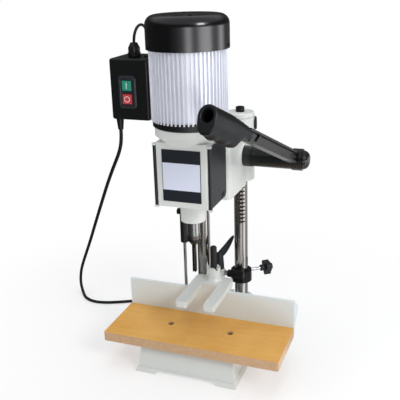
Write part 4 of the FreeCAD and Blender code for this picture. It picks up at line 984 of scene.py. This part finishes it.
@dataclass(frozen=True)
class HoldDown(SubAssembly):
    """The fork over the table, its clamp on the column and the clamping handle.

    Attributes:
        foot: Where the handle's seat is, in millimetres.
        turn: Which way the blade points, in degrees from the machine's right.
        trunk: Height above the seat and radius at each step of the trunk.
        blade: Reach, height above the seat, half width and half thickness along the blade.
        trunk_steps: How many rings each step of the trunk is divided into.
        blade_steps: How many rings each step of the blade is divided into.
        trunk_corners: Corners of a ring of the trunk.
        blade_corners: Corners of a ring of the blade.
    """

    WEARS: ClassVar[dict[Material, tuple[str, ...]]] = {
        Material.CAST_PAINT: ("hold_down_fork",),
        Material.GROUND_STEEL: ("hold_down_bar",),
        Material.BLACK_OXIDE_AND_HOLE_SHADE: ("hold_down_collar",),
        Material.BLACK_PLASTIC: ("fork_post", "hold_down_lever", "clamp_knob"),
        Material.ZINC: ("clamp_screw",),
    }
    foot: Place = (3, 57, 147.5)
    turn: float = 72
    trunk: tuple[Pair, ...] = ((0.3, 8.8), (1.2, 9.3), (9, 9.1), (20, 8.4), (28, 8.0), (31.5, 7.0),
                               (33.6, 5.0), (34.3, 2.5))
    blade: tuple[tuple[float, float, float, float], ...] = (
        (0, 27.5, 5.5, 6.0), (8, 30.0, 8.0, 6.2), (19, 34.2, 8.2, 5.6), (30, 40.5, 6.9, 5.0),
        (40, 47.3, 4.7, 4.0), (46, 51.3, 3.0, 2.8), (49, 53.3, 1.2, 1.2))
    trunk_steps: int = 4
    blade_steps: int = 5
    trunk_corners: int = 32
    blade_corners: int = 28

    def place(self, out: float, side: float, up: float) -> Vector:
        """Return a point's place in metres, from how far out, to the left and above the seat."""
        turn = Matrix.Rotation(math.radians(self.turn), 3, "Z")
        return (Vector(self.foot) + turn @ Vector((out, side, up))) * MM

    def trunk_rings(self) -> list[Ring]:
        """Return the trunk's rings from its foot to its top."""
        return [[self.place(x, y, up) for x, y in circle(radius, self.trunk_corners)]
                for up, radius in eased(self.trunk, self.trunk_steps)]

    def blade_rings(self) -> list[Ring]:
        """Shape the blade, with each ring square to its run.

        Returns:
            Its rings from its root to its tip.
        """
        rows = eased(self.blade, self.blade_steps)
        rings = []
        for index, (out, up, wide, thick) in enumerate(rows):
            ahead, behind = rows[min(index + 1, len(rows) - 1)], rows[max(index - 1, 0)]
            slope = math.atan2(ahead[1] - behind[1], ahead[0] - behind[0])
            rings.append([self.place(out - wide * y * math.sin(slope), thick * x,
                                     up + wide * y * math.cos(slope))
                          for x, y in circle(1.0, self.blade_corners)])
        return rings

    def build(self, palette: Palette) -> list[bpy.types.Object]:
        """Replace the clamping lever by a smooth moulded one with a tapered blade.

        Args:
            palette: Blender materials by finish.

        Returns:
            The handle.
        """
        work = bmesh.new()
        for name, rings in (("Trunk", self.trunk_rings()), ("Blade", self.blade_rings())):
            part = loft(name, rings)
            work.from_mesh(part)
            bpy.data.meshes.remove(part)
        mesh = bpy.data.meshes.new("ClampHandle")
        work.to_mesh(mesh)
        work.free()
        handle = piece("ClampHandle", mesh, palette[Material.BLACK_PLASTIC], "clamp_lever")
        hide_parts("hold_down_lever")
        return [handle]


@dataclass(frozen=True)
class RibRing:
    """Moulded ribs that stand in a ring round an upright axis.

    Attributes:
        name: The piece's name.
        axis: The ring's axis, as X and Y in millimetres.
        low: Height of the ribs' feet in millimetres.
        tall: Their height in millimetres.
        ring_r: Radius of the ring in millimetres.
        rib_r: Radius of one rib in millimetres.
        count: How many there are.
        bow: Share along a rib and its share of the full radius there.
        rows: How many sections a rib has.
        sides: Corners of a section.
        sharp: Edges that turn by more than this many degrees stay sharp.
    """

    name: str
    axis: Pair
    low: float
    tall: float
    ring_r: float
    rib_r: float
    count: int
    bow: tuple[Pair, ...] = ((0.0, 0.55), (0.2, 1.0), (0.75, 1.0), (1.0, 0.35))
    rows: int = 7
    sides: int = 10
    sharp: float = 50

    def group(self, material: bpy.types.Material) -> bpy.types.NodeTree:
        """Build the Geometry Nodes group that sets a bowed rib at each point of a circle.

        Args:
            material: The ribs' material.

        Returns:
            The node group.
        """
        group = bpy.data.node_groups.new("Rib ring", "GeometryNodeTree")
        face = group.interface
        face.new_socket("Geometry", in_out="INPUT", socket_type="NodeSocketGeometry")
        for name, kind in (("Count", "NodeSocketInt"), ("Ring Radius", "NodeSocketFloat"),
                           ("Rib Radius", "NodeSocketFloat"), ("Rib Height", "NodeSocketFloat")):
            face.new_socket(name, in_out="INPUT", socket_type=kind)
        face.new_socket("Geometry", in_out="OUTPUT", socket_type="NodeSocketGeometry")

        tree = Tree(group)
        given = tree.add("NodeGroupInput").outputs
        ring = tree.add("GeometryNodeMeshCircle", {"Vertices": given["Count"],
                                                   "Radius": given["Ring Radius"]})
        top = tree.add("ShaderNodeCombineXYZ", {"Z": given["Rib Height"]})
        spine = tree.add("GeometryNodeCurvePrimitiveLine", {"End": top.outputs[0]})
        divided = tree.add("GeometryNodeResampleCurve", {"Curve": spine.outputs[0],
                                                         "Count": self.rows})
        along = tree.add("GeometryNodeSplineParameter").outputs["Factor"]
        swell = tree.add("ShaderNodeFloatCurve", {"Value": along})
        bow = swell.mapping.curves[0]
        bow.points[0].location, bow.points[1].location = self.bow[0], self.bow[-1]
        for share, width in self.bow[1:-1]:
            bow.points.new(share, width)
        swelled = tree.add("GeometryNodeSetCurveRadius", {"Curve": divided.outputs[0],
                                                          "Radius": swell.outputs[0]})
        profile = tree.add("GeometryNodeCurvePrimitiveCircle", {"Resolution": self.sides,
                                                                "Radius": given["Rib Radius"]})
        rib = tree.add("GeometryNodeCurveToMesh", {
            "Curve": swelled.outputs[0], "Profile Curve": profile.outputs[0], "Fill Caps": True})
        spread = tree.add("GeometryNodeInstanceOnPoints", {"Points": ring.outputs[0],
                                                           "Instance": rib.outputs[0]})
        real = tree.add("GeometryNodeRealizeInstances", {0: spread.outputs[0]})
        coat = tree.add("GeometryNodeSetMaterial", {"Geometry": real.outputs[0],
                                                    "Material": material})
        tree.add("NodeGroupOutput", {"Geometry": coat.outputs[0]})
        return group

    def build(self, material: bpy.types.Material, body: str, slot: str) -> bpy.types.Object:
        """Bake the ring into one mesh that rides on a body.

        Args:
            material: Its material.
            body: The CAD body that it moves with.
            slot: A material slot's name; not used.

        Returns:
            The piece.
        """
        group = self.group(material)
        holder = bpy.data.objects.new(self.name + "Seed", bpy.data.meshes.new(self.name + "Seed"))
        bpy.context.scene.collection.objects.link(holder)
        modifier = holder.modifiers.new("Ribs", "NODES")
        modifier.node_group = group
        given = {"Count": self.count, "Ring Radius": self.ring_r * MM,
                 "Rib Radius": self.rib_r * MM, "Rib Height": self.tall * MM}
        for socket in group.interface.items_tree:
            if socket.in_out == "INPUT" and socket.name in given:
                modifier[socket.identifier] = given[socket.name]
        holder.update_tag()
        bpy.context.view_layer.update()
        shaped = holder.evaluated_get(bpy.context.evaluated_depsgraph_get())
        mesh = bpy.data.meshes.new_from_object(shaped)
        bpy.data.objects.remove(holder)
        mesh.transform(Matrix.Translation(Vector((*self.axis, self.low)) * MM))
        soften(mesh, self.sharp)
        return piece(self.name, mesh, material, body)


@dataclass(frozen=True)
class Switch(SubAssembly):
    """The switch box with its buttons, splash guard, marks and cord gland.

    Attributes:
        middle: X of the buttons' middle, in millimetres.
        start_up: Height of the start button, in millimetres.
        stop_up: Height of the stop button, in millimetres.
        front: Y of the box's front, in millimetres.
        hole: Width, height and corner radius of the guard's holes, in millimetres.
        plate: Those of the guard's plate.
        plate_thick: Thickness of the plate, in millimetres.
        plate_edge: Rounding of its edges, in millimetres.
        lip_outside: Width, height and corner radius round the guard's lip, in millimetres.
        lip_inside: Those inside the lip.
        lip_thick: Height of the lip above the plate, in millimetres.
        lip_edge: Rounding of its edges, in millimetres.
        caps: Y of the marks' backs, just in the buttons' fronts, in millimetres.
        bar: Width, height and corner radius of the start mark, in millimetres.
        loop: Outer and inner radius of the stop mark, in millimetres.
        loop_corners: Corners of the stop mark's circles.
        ink_thick: Thickness of a mark, in millimetres.
        ink_edge: Rounding of its edges, in millimetres.
        ribs: The ribs round the cord's gland.
    """

    WEARS: ClassVar[dict[Material, tuple[str, ...]]] = {
        Material.SWITCH_PLASTIC: ("switch_box", "switch_guard", "switch_block", "glands"),
        Material.BLACK_ENAMEL: ("switch_bracket",),
        Material.GREEN_BUTTON: ("start_button",),
        Material.RED_BUTTON: ("stop_button",),
    }
    middle: float = -109
    start_up: float = 535
    stop_up: float = 512
    front: float = -80
    hole: Panel = (18.4, 18.4, 1.6)
    plate: Panel = (32, 56, 5)
    plate_thick: float = 1.6
    plate_edge: float = 0.5
    lip_outside: Panel = (30, 54, 4.5)
    lip_inside: Panel = (24.6, 48, 3)
    lip_thick: float = 1.4
    lip_edge: float = 0.6
    caps: float = -83.98
    bar: Panel = (1.3, 10.4, 0.6)
    loop: Pair = (5.2, 4.3)
    loop_corners: int = 40
    ink_thick: float = 0.24
    ink_edge: float = 0.06
    ribs: RibRing = RibRing("GlandRibs", (-106, -52), 589.5, 7.0, 9.3, 0.85, 14)

    def guard(self, palette: Palette) -> list[bpy.types.Object]:
        """Make the splash guard's plate with its raised lip.

        Args:
            palette: Blender materials by finish.

        Returns:
            The plate and the lip.
        """
        centre = (self.start_up + self.stop_up) / 2
        holes = [[(across, up + (button - centre)) for across, up in rounded_outline(*self.hole)]
                 for button in (self.start_up, self.stop_up)]
        back = stamped("SwitchGuard", [rounded_outline(*self.plate), *holes], self.plate_thick,
                       self.plate_edge, (self.middle, self.front, centre))
        guard = piece("SwitchGuard", back, palette[Material.CLEAR_GUARD], "head")
        edge = stamped("SwitchLip", [rounded_outline(*outline) for outline in
                                     (self.lip_outside, self.lip_inside)], self.lip_thick,
                       self.lip_edge, (self.middle, self.front - self.plate_thick, centre))
        lip = piece("SwitchLip", edge, palette[Material.CLEAR_GUARD], "head")
        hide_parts("switch_guard")
        return [guard, lip]

    def marks(self, palette: Palette) -> list[bpy.types.Object]:
        """Print the bar of the start button and the ring of the stop button.

        Args:
            palette: Blender materials by finish.

        Returns:
            The two marks.
        """
        bar = stamped("StartMark", [rounded_outline(*self.bar, steps=4)], self.ink_thick,
                      self.ink_edge, (self.middle, self.caps, self.start_up))
        loop = stamped("StopMark", [circle(radius, self.loop_corners) for radius in self.loop],
                       self.ink_thick, self.ink_edge, (self.middle, self.caps, self.stop_up))
        return [piece("StartMark", bar, palette[Material.MARK_INK], "start"),
                piece("StopMark", loop, palette[Material.MARK_INK], "stop")]

    def build(self, palette: Palette) -> list[bpy.types.Object]:
        """Return the guard, the marks and the gland's ribs."""
        return [*self.guard(palette), *self.marks(palette),
                self.ribs.build(palette[Material.SWITCH_PLASTIC], "head", "switch_plastic")]


# ---------------------------------------------------------------- cords

@dataclass(frozen=True)
class CordRoute:
    """A cord's control points and its thickness.

    Attributes:
        name: The piece's name.
        points: Control points in millimetres.
        diameter: Thickness in metres.
        sides: Corners of its section.
    """

    name: str
    points: tuple[Place, ...]
    diameter: float
    sides: int = 14

    def line(self) -> list[Vector]:
        """Draw the smooth centreline as a NURBS spline.

        Returns:
            Its points in metres.
        """
        curve = bpy.data.curves.new(self.name + "Line", "CURVE")
        curve.dimensions = "3D"
        spline = curve.splines.new("NURBS")
        spline.points.add(len(self.points) - 1)
        for knot, place in zip(spline.points, self.points):
            knot.co = (place[0] * MM, place[1] * MM, place[2] * MM, 1.0)
        spline.order_u = 3
        spline.use_endpoint_u = True
        spline.resolution_u = 8
        mesh = baked(curve)
        points = [vertex.co.copy() for vertex in mesh.vertices]
        bpy.data.meshes.remove(mesh)
        return points

    def tube(self, line: Sequence[Vector]) -> bpy.types.Mesh:
        """Sweep a circle along the centreline without twisting it.

        Args:
            line: The centreline's points.

        Returns:
            The tube, closed at both ends.
        """
        rings = []
        side = Vector((0, 0, 1))
        for index, point in enumerate(line):
            ahead = line[min(index + 1, len(line) - 1)] - line[max(index - 1, 0)]
            ahead.normalize()
            side = side - ahead * side.dot(ahead)
            if side.length < 1e-6:
                side = ahead.orthogonal()
            side.normalize()
            across = ahead.cross(side)
            rings.append([point + side * x + across * y
                          for x, y in circle(self.diameter / 2, self.sides)])
        return loft(self.name, rings)


@dataclass(frozen=True)
class Coil:
    """The mains cord's put-away turns, which end beside the plug's boot, and their tie.

    Attributes:
        centre: The coil's middle, as X and Y in millimetres.
        radius: Mean radius of its turns.
        points: How many control points it has.
        lap: How many of them two turns take.
        first: Where the turns start, in degrees.
        step: Turn from one point to the next, in degrees.
        wander: How far a turn strays in or out.
        wander_rate: How fast it does, in radians for each point.
        tuck: How far the last turn lies further in.
        rest: Height of a turn that lies on the bench.
        climb: How far the cord climbs over two turns.
        ripple: How far it strays up and down.
        ripple_rate: How fast it does, in radians for each point.
        tie_turn: Where the tie is, in degrees.
        tie_up: Height of the tie's middle.
        tie_out: How far the tie's middle lies outside the mean radius.
        tie_steps: How many sections the tie has.
        tie_half: Half width and half height inside the tie.
        strap_half: Half width and half thickness of its strap.
        strap_square: How square the strap's section is: one for round, less for squarer.
        strap_corners: Corners of the strap's section.
    """

    centre: Pair = (-60, 175)
    radius: float = 36
    points: int = 37
    lap: int = 24
    first: float = -90
    step: float = 30
    wander: float = 2.2
    wander_rate: float = 1.7
    tuck: float = 1.5
    rest: float = 3.4
    climb: float = 5.6
    ripple: float = 0.8
    ripple_rate: float = 0.9
    tie_turn: float = 150
    tie_up: float = 7.4
    tie_out: float = 0.3
    tie_steps: int = 40
    tie_half: Pair = (7.2, 6.0)
    strap_half: Pair = (2.6, 0.6)
    strap_square: float = 0.5
    strap_corners: int = 12

    def turns(self) -> list[Place]:
        """Lay three loose turns.

        Returns:
            Their control points in millimetres.
        """
        places = []
        for index in range(self.points):
            turn = math.radians(self.first + self.step * index)
            radius = (self.radius + self.wander * math.sin(self.wander_rate * index)
                      - (self.tuck if index > self.lap else 0))
            height = (self.rest + self.climb * (index % self.lap) / self.lap
                      + self.ripple * math.sin(self.ripple_rate * index))
            places.append((self.centre[0] + radius * math.cos(turn),
                           self.centre[1] + radius * math.sin(turn), max(self.rest, height)))
        return places

    def tie_rings(self) -> list[Ring]:
        """Bind the turns with a flat rubber strap.

        Returns:
            The strap's sections in metres.
        """
        turn = math.radians(self.tie_turn)
        out = Vector((math.cos(turn), math.sin(turn), 0))
        along = Vector((-out.y, out.x, 0))
        up = Vector((0, 0, 1))
        centre = Vector((*self.centre, self.tie_up)) + out * (self.radius + self.tie_out)
        rings = []
        for x, y in circle(1.0, self.tie_steps):
            middle = centre + out * (self.tie_half[0] * x) + up * (self.tie_half[1] * y)
            ring = []
            for wide, thick in circle(1.0, self.strap_corners):
                across = math.copysign(abs(wide) ** self.strap_square, wide) * self.strap_half[0]
                outward = math.copysign(abs(thick) ** self.strap_square, thick) * self.strap_half[1]
                ring.append((middle + along * across + (out * x + up * y) * outward) * MM)
            rings.append(ring)
        return rings


COIL = Coil()
MAINS = CordRoute("MainsCord", (
    (-133, -68, 455), (-133, -68, 436), (-142, -62, 411), (-166, -44, 376), (-194, -20, 335),
    (-224, 8, 289), (-253, 35, 244), (-281, 61, 200), (-308, 87, 158), (-334, 110, 118),
    (-358, 130, 80), (-374, 142, 50), (-374.5, 135.5, 21.5), (-358.5, 119, 3.3), (-341, 100, 3.3),
    (-315, 90, 3.3), (-286, 94, 3.3), (-258, 106, 3.3), (-230, 120, 3.3), (-201, 134, 3.3),
    (-170, 145, 3.3), (-139, 148, 3.3), (-110, 144, 5), (-83, 139, 7), *COIL.turns(),
    (-48, 139, 7), (-36, 139, 7)), 6.5 * MM)
MOTOR_LEAD = CordRoute("MotorLead", (
    (-106, -52, 592), (-106, -52, 610), (-106, -42, 625), (-106, -25.5, 632), (-106, -8.5, 629),
    (-105, 3.5, 617), (-102.5, 9.5, 601), (-98, 12, 585), (-92, 13, 568.5), (-84.2, 12.3, 551),
    (-75.6, 5.6, 533.6), (-63.6, -6.4, 525), (-50.2, -19.8, 525)), 5 * MM)


@dataclass(frozen=True)
class Cords(SubAssembly):
    """The mains cord with its tied coil and plug, and the motor's lead.

    Attributes:
        mains: The mains cord's route, its coil in it.
        lead: The motor lead's route.
        coil: The coil that the tie binds.
    """

    WEARS: ClassVar[dict[Material, tuple[str, ...]]] = {
        Material.CORD_SHEATH: ("mains_cord", "mains_coil", "motor_lead"),
        Material.SWITCH_PLASTIC: ("mains_plug",),
    }
    mains: CordRoute = MAINS
    lead: CordRoute = MOTOR_LEAD
    coil: Coil = COIL

    def build(self, palette: Palette) -> list[bpy.types.Object]:
        """Lay both cords and tie the coil.

        Args:
            palette: Blender materials by finish.

        Returns:
            The cords and the tie.
        """
        sheath = palette[Material.CORD_SHEATH]
        line = self.mains.line()
        mains = piece("MainsCord", self.mains.tube(line), sheath, None)
        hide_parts("mains_cord", "mains_coil")
        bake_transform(mains)
        line = self.lead.line()
        lead = piece("MotorLead", self.lead.tube(line), sheath, "head")
        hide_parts("motor_lead")
        tie = piece("CoilTie", loft("CoilTie", self.coil.tie_rings(), closed=True), sheath,
                    "base")
        return [mains, lead, tie]


# ---------------------------------------------------------------- camera and light

@dataclass(frozen=True)
class Lamp:
    """A soft square lamp.

    Attributes:
        name: Its name.
        place: Where it hangs.
        target: The point it faces.
        side: Its side in metres.
        power: Watts.
        mirrored: Whether glossy surfaces show it.
    """

    name: str
    place: Place
    target: Place
    side: float
    power: float
    mirrored: bool = False

    def hang(self) -> tuple[bpy.types.Light, Matrix]:
        """Make the lamp.

        Returns:
            Its data and the matrix that hangs it up.
        """
        data = bpy.data.lights.new(self.name, "AREA")
        data.shape = "SQUARE"
        data.size = self.side
        data.energy = self.power
        aim = (Vector(self.target) - Vector(self.place)).to_track_quat("-Z", "Y").to_matrix()
        return data, Matrix.Translation(self.place) @ aim.to_4x4()


LAMPS = (Lamp("Key", (2.1, -1.25, 1.8), (0, 0, 0.35), 0.9, 33, True),
         Lamp("Fill", (-1.9, -1.2, 1.2), (0, 0, 0.3), 1.4, 9),
         Lamp("Side", (2.5, -0.35, 0.6), (0, 0, 0.25), 1.4, 10),
         Lamp("Top", (0, 0.2, 2.4), (0, 0, 0.3), 1.4, 18))

# Soft boxes and black flags round the machine, as a share of the turn and a brightness: the near
# ones are mirrored in the low columns, the far ones in the high cowl.
COLUMN_CARDS = ((0.0, 0.05), (0.15, 0.05), (0.18, 0.08), (0.23, 0.14), (0.275, 0.25),
                (0.307, 0.8), (0.321, 1.5), (0.335, 1.3), (0.355, 0.45), (0.41, 0.38),
                (0.43, 0.8), (0.455, 1.5), (0.503, 1.7), (0.53, 1.0), (0.555, 0.35),
                (0.615, 0.36), (0.665, 0.8), (0.745, 0.9), (0.82, 0.5), (0.92, 0.12), (1.0, 0.05))
COWL_CARDS = ((0.0, 0.04), (0.171, 0.04), (0.2285, 0.25), (0.267, 0.6), (0.285, 1.4), (0.3, 3.2),
              (0.318, 4.8), (0.335, 3.0), (0.352, 1.0), (0.375, 1.0), (0.39, 2.4), (0.409, 4.4),
              (0.44, 5.0), (0.47, 5.0), (0.486, 3.8), (0.5, 1.4), (0.525, 0.7), (0.55, 0.9),
              (0.572, 2.6), (0.59, 3.6), (0.612, 1.6), (0.64, 0.2), (0.8, 0.1), (0.9, 0.04),
              (1.0, 0.04))


@dataclass(frozen=True)
class Studio:
    """Camera, floor and lamps, none of which is part of the machine.

    Attributes:
        place: Where the camera stands, in metres.
        turn: How far it looks to the machine's left of straight back, in degrees.
        pitch: How far it looks down, in degrees.
        roll: Its roll, in degrees.
        lens: Its focal length, in millimetres on a 36 mm frame.
        shift: How far its frame is shifted, as shares of its width.
        floor_half: Half the floor's side, in metres.
        floor_drop: How far the floor lies under the feet, in metres.
        fade: Distances between which the floor runs out to white, in metres.
        cards: Distances between which near cards give way to far ones, in metres.
    """

    place: Place = (0.4078, -1.0947, 0.7263)
    turn: float = 20.71
    pitch: float = 18.68
    roll: float = -1.55
    lens: float = 59.94
    shift: Pair = (-0.0083, -0.0248)
    floor_half: float = 40
    floor_drop: float = 0.0005
    fade: Pair = (0.25, 0.75)
    cards: Pair = (1.4, 2.2)

    def link(self, name: str, data: bpy.types.ID, matrix: Matrix) -> bpy.types.Object:
        """Add an object that is only stage.

        Args:
            name: Its name.
            data: Its mesh, camera or light.
            matrix: Where it stands.

        Returns:
            The object.
        """
        item = bpy.data.objects.new(name, data)
        item.matrix_world = matrix
        bpy.context.scene.collection.objects.link(item)
        return item

    def camera(self) -> None:
        """Set the camera."""
        data = bpy.data.cameras.new("Camera")
        data.sensor_width = 36
        data.lens = self.lens
        data.shift_x, data.shift_y = self.shift
        aim = (Matrix.Rotation(math.radians(self.turn), 4, "Z")
               @ Matrix.Rotation(math.radians(90 - self.pitch), 4, "X")
               @ Matrix.Rotation(math.radians(self.roll), 4, "Z"))
        bpy.context.scene.camera = self.link("Camera", data, Matrix.Translation(self.place) @ aim)

    def floor(self) -> None:
        """Lay a plain pale floor that runs out to pure white behind the machine."""
        mesh = bpy.data.meshes.new("Floor")
        mesh.from_pydata([(x * self.floor_half, y * self.floor_half, 0)
                          for x, y in ((-1, -1), (1, -1), (1, 1), (-1, 1))], [], [(0, 1, 2, 3)])
        turn_outwards(mesh)
        shader = Shader("Pale studio floor")
        shader.feed(shader.skin, {"Base Color": (0.95, 0.95, 0.95, 1), "Roughness": 0.9,
                                  "Specular IOR Level": 0.1})
        where = shader.space()
        away = shader.add("ShaderNodeVectorMath", {0: where}, operation="LENGTH")
        fade = shader.add("ShaderNodeMapRange", {
            "Value": away.outputs["Value"], "From Min": self.fade[0], "From Max": self.fade[1]},
            interpolation_type="SMOOTHSTEP")
        share = shader.add("ShaderNodeMapRange", {"Value": fade.outputs[0], "To Min": 0.45})
        white = shader.add("ShaderNodeEmission", {"Color": (1, 1, 1, 1), "Strength": 1.0})
        lit = shader.add("ShaderNodeMixShader", {0: share.outputs[0], 1: shader.skin.outputs[0],
                                                 2: white.outputs[0]})
        shader.feed(shader.tree.nodes["Material Output"],
                    {"Surface": self.mirrored(shader, where, lit.outputs[0])})
        mesh.materials.append(shader.material)
        self.link("Floor", mesh, Matrix.Translation((0, 0, -self.floor_drop)))

    def mirrored(self, shader: Shader, where: bpy.types.NodeSocket,
                 seen: bpy.types.NodeSocket) -> bpy.types.NodeSocket:
        """Show reflections a ring of cards in place of the floor.

        Args:
            shader: The floor's tree.
            where: Place on the floor, from the machine.
            seen: What the camera and diffuse light see.

        Returns:
            The mixed shader.
        """
        split = shader.add("ShaderNodeSeparateXYZ", {0: where})
        angle = shader.add("ShaderNodeMath", {0: split.outputs["Y"], 1: split.outputs["X"]},
                           operation="ARCTAN2")
        share = shader.add("ShaderNodeMath", {0: angle.outputs[0], 1: 2 * math.pi},
                           operation="DIVIDE")
        turn = shader.add("ShaderNodeMath", {0: share.outputs[0], 1: 0.5}, operation="ADD")
        away = shader.add("ShaderNodeVectorMath", {0: where}, operation="LENGTH")
        far = shader.add("ShaderNodeMapRange", {
            "Value": away.outputs["Value"], "From Min": self.cards[0], "From Max": self.cards[1]})
        rows = []
        for levels in (COLUMN_CARDS, COWL_CARDS):
            row = shader.add("ShaderNodeValToRGB", {0: turn.outputs[0]})
            set_stops(row.color_ramp, [(place, (level, level, level * 1.03, 1))
                                       for place, level in levels])
            rows.append(row.outputs[0])
        both = shader.add("ShaderNodeMix", {0: far.outputs[0], 6: rows[0], 7: rows[1]},
                          data_type="RGBA")
        cards = shader.add("ShaderNodeEmission", {"Color": both.outputs[2], "Strength": 1.0})
        rays = shader.add("ShaderNodeLightPath")
        return shader.add("ShaderNodeMixShader", {
            0: rays.outputs["Is Glossy Ray"], 1: seen, 2: cards.outputs[0]}).outputs[0]

    def world(self) -> None:
        """Surround the stage with a room that is bright above and dim low down.

        Reflections see a darker room, and the camera sees plain white.
        """
        world = bpy.data.worlds.new("Soft room")
        bpy.context.scene.world = world
        world.use_nodes = True
        tree = Tree(world.node_tree)
        where = tree.add("ShaderNodeTexCoord").outputs["Generated"]
        height = tree.add("ShaderNodeSeparateXYZ", {0: where}).outputs["Z"]
        sky = tree.add("ShaderNodeValToRGB", {0: height})
        set_stops(sky.color_ramp, [(0.0, (0.10, 0.10, 0.11, 1)), (0.75, (0.95, 0.96, 1.0, 1))])
        dim = tree.add("ShaderNodeValToRGB", {0: height})
        set_stops(dim.color_ramp, [(0.36, (0.05, 0.05, 0.05, 1)), (0.62, (0.5, 0.5, 0.52, 1))])
        shown = tree.tree.nodes["Background"]
        tree.feed(shown, {"Color": sky.outputs[0], "Strength": 0.6})
        rays = tree.add("ShaderNodeLightPath")
        for ray, colour in (("Is Glossy Ray", dim.outputs[0]), ("Is Camera Ray", (1, 1, 1, 1))):
            room = tree.add("ShaderNodeBackground", {"Color": colour})
            shown = tree.add("ShaderNodeMixShader", {0: rays.outputs[ray], 1: shown.outputs[0],
                                                     2: room.outputs[0]})
        tree.feed(tree.tree.nodes["World Output"], {"Surface": shown.outputs[0]})

    def build(self) -> None:
        """Set everything up."""
        self.camera()
        self.floor()
        for lamp in LAMPS:
            self.link(lamp.name, *lamp.hang()).visible_glossy = lamp.mirrored
            LOG.info("Studio: %s lamp, %g W", lamp.name, lamp.power)
        self.world()
        bpy.context.scene.view_settings.view_transform = "Standard"


# ---------------------------------------------------------------- the whole


def main() -> None:
    """Set the stage, then dress and build each sub-assembly in order and report its pieces."""
    logging.basicConfig(level=logging.INFO)
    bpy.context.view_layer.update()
    palette = {finish: finish.value.make() for finish in Material}
    Studio().build()
    bare = set(NODES)
    for assembly in (Cords(), Feed(), HoldDown(), Tooling(), Switch(), Base(), Fence(), Head(),
                     Motor(), Doors()):
        title = type(assembly).__name__
        for name in assembly.dress(palette):
            bare.discard(name)
            LOG.info("%s: %s wears %s", title, name, NODES[name].data.materials[0].name)
        for item in assembly.build(palette):
            LOG.info("%s: %s has %d faces", title, item.name, len(item.data.polygons))
    for name in sorted(bare):
        LOG.warning("%s has no finish", name)


if __name__ == "__main__":
    main()
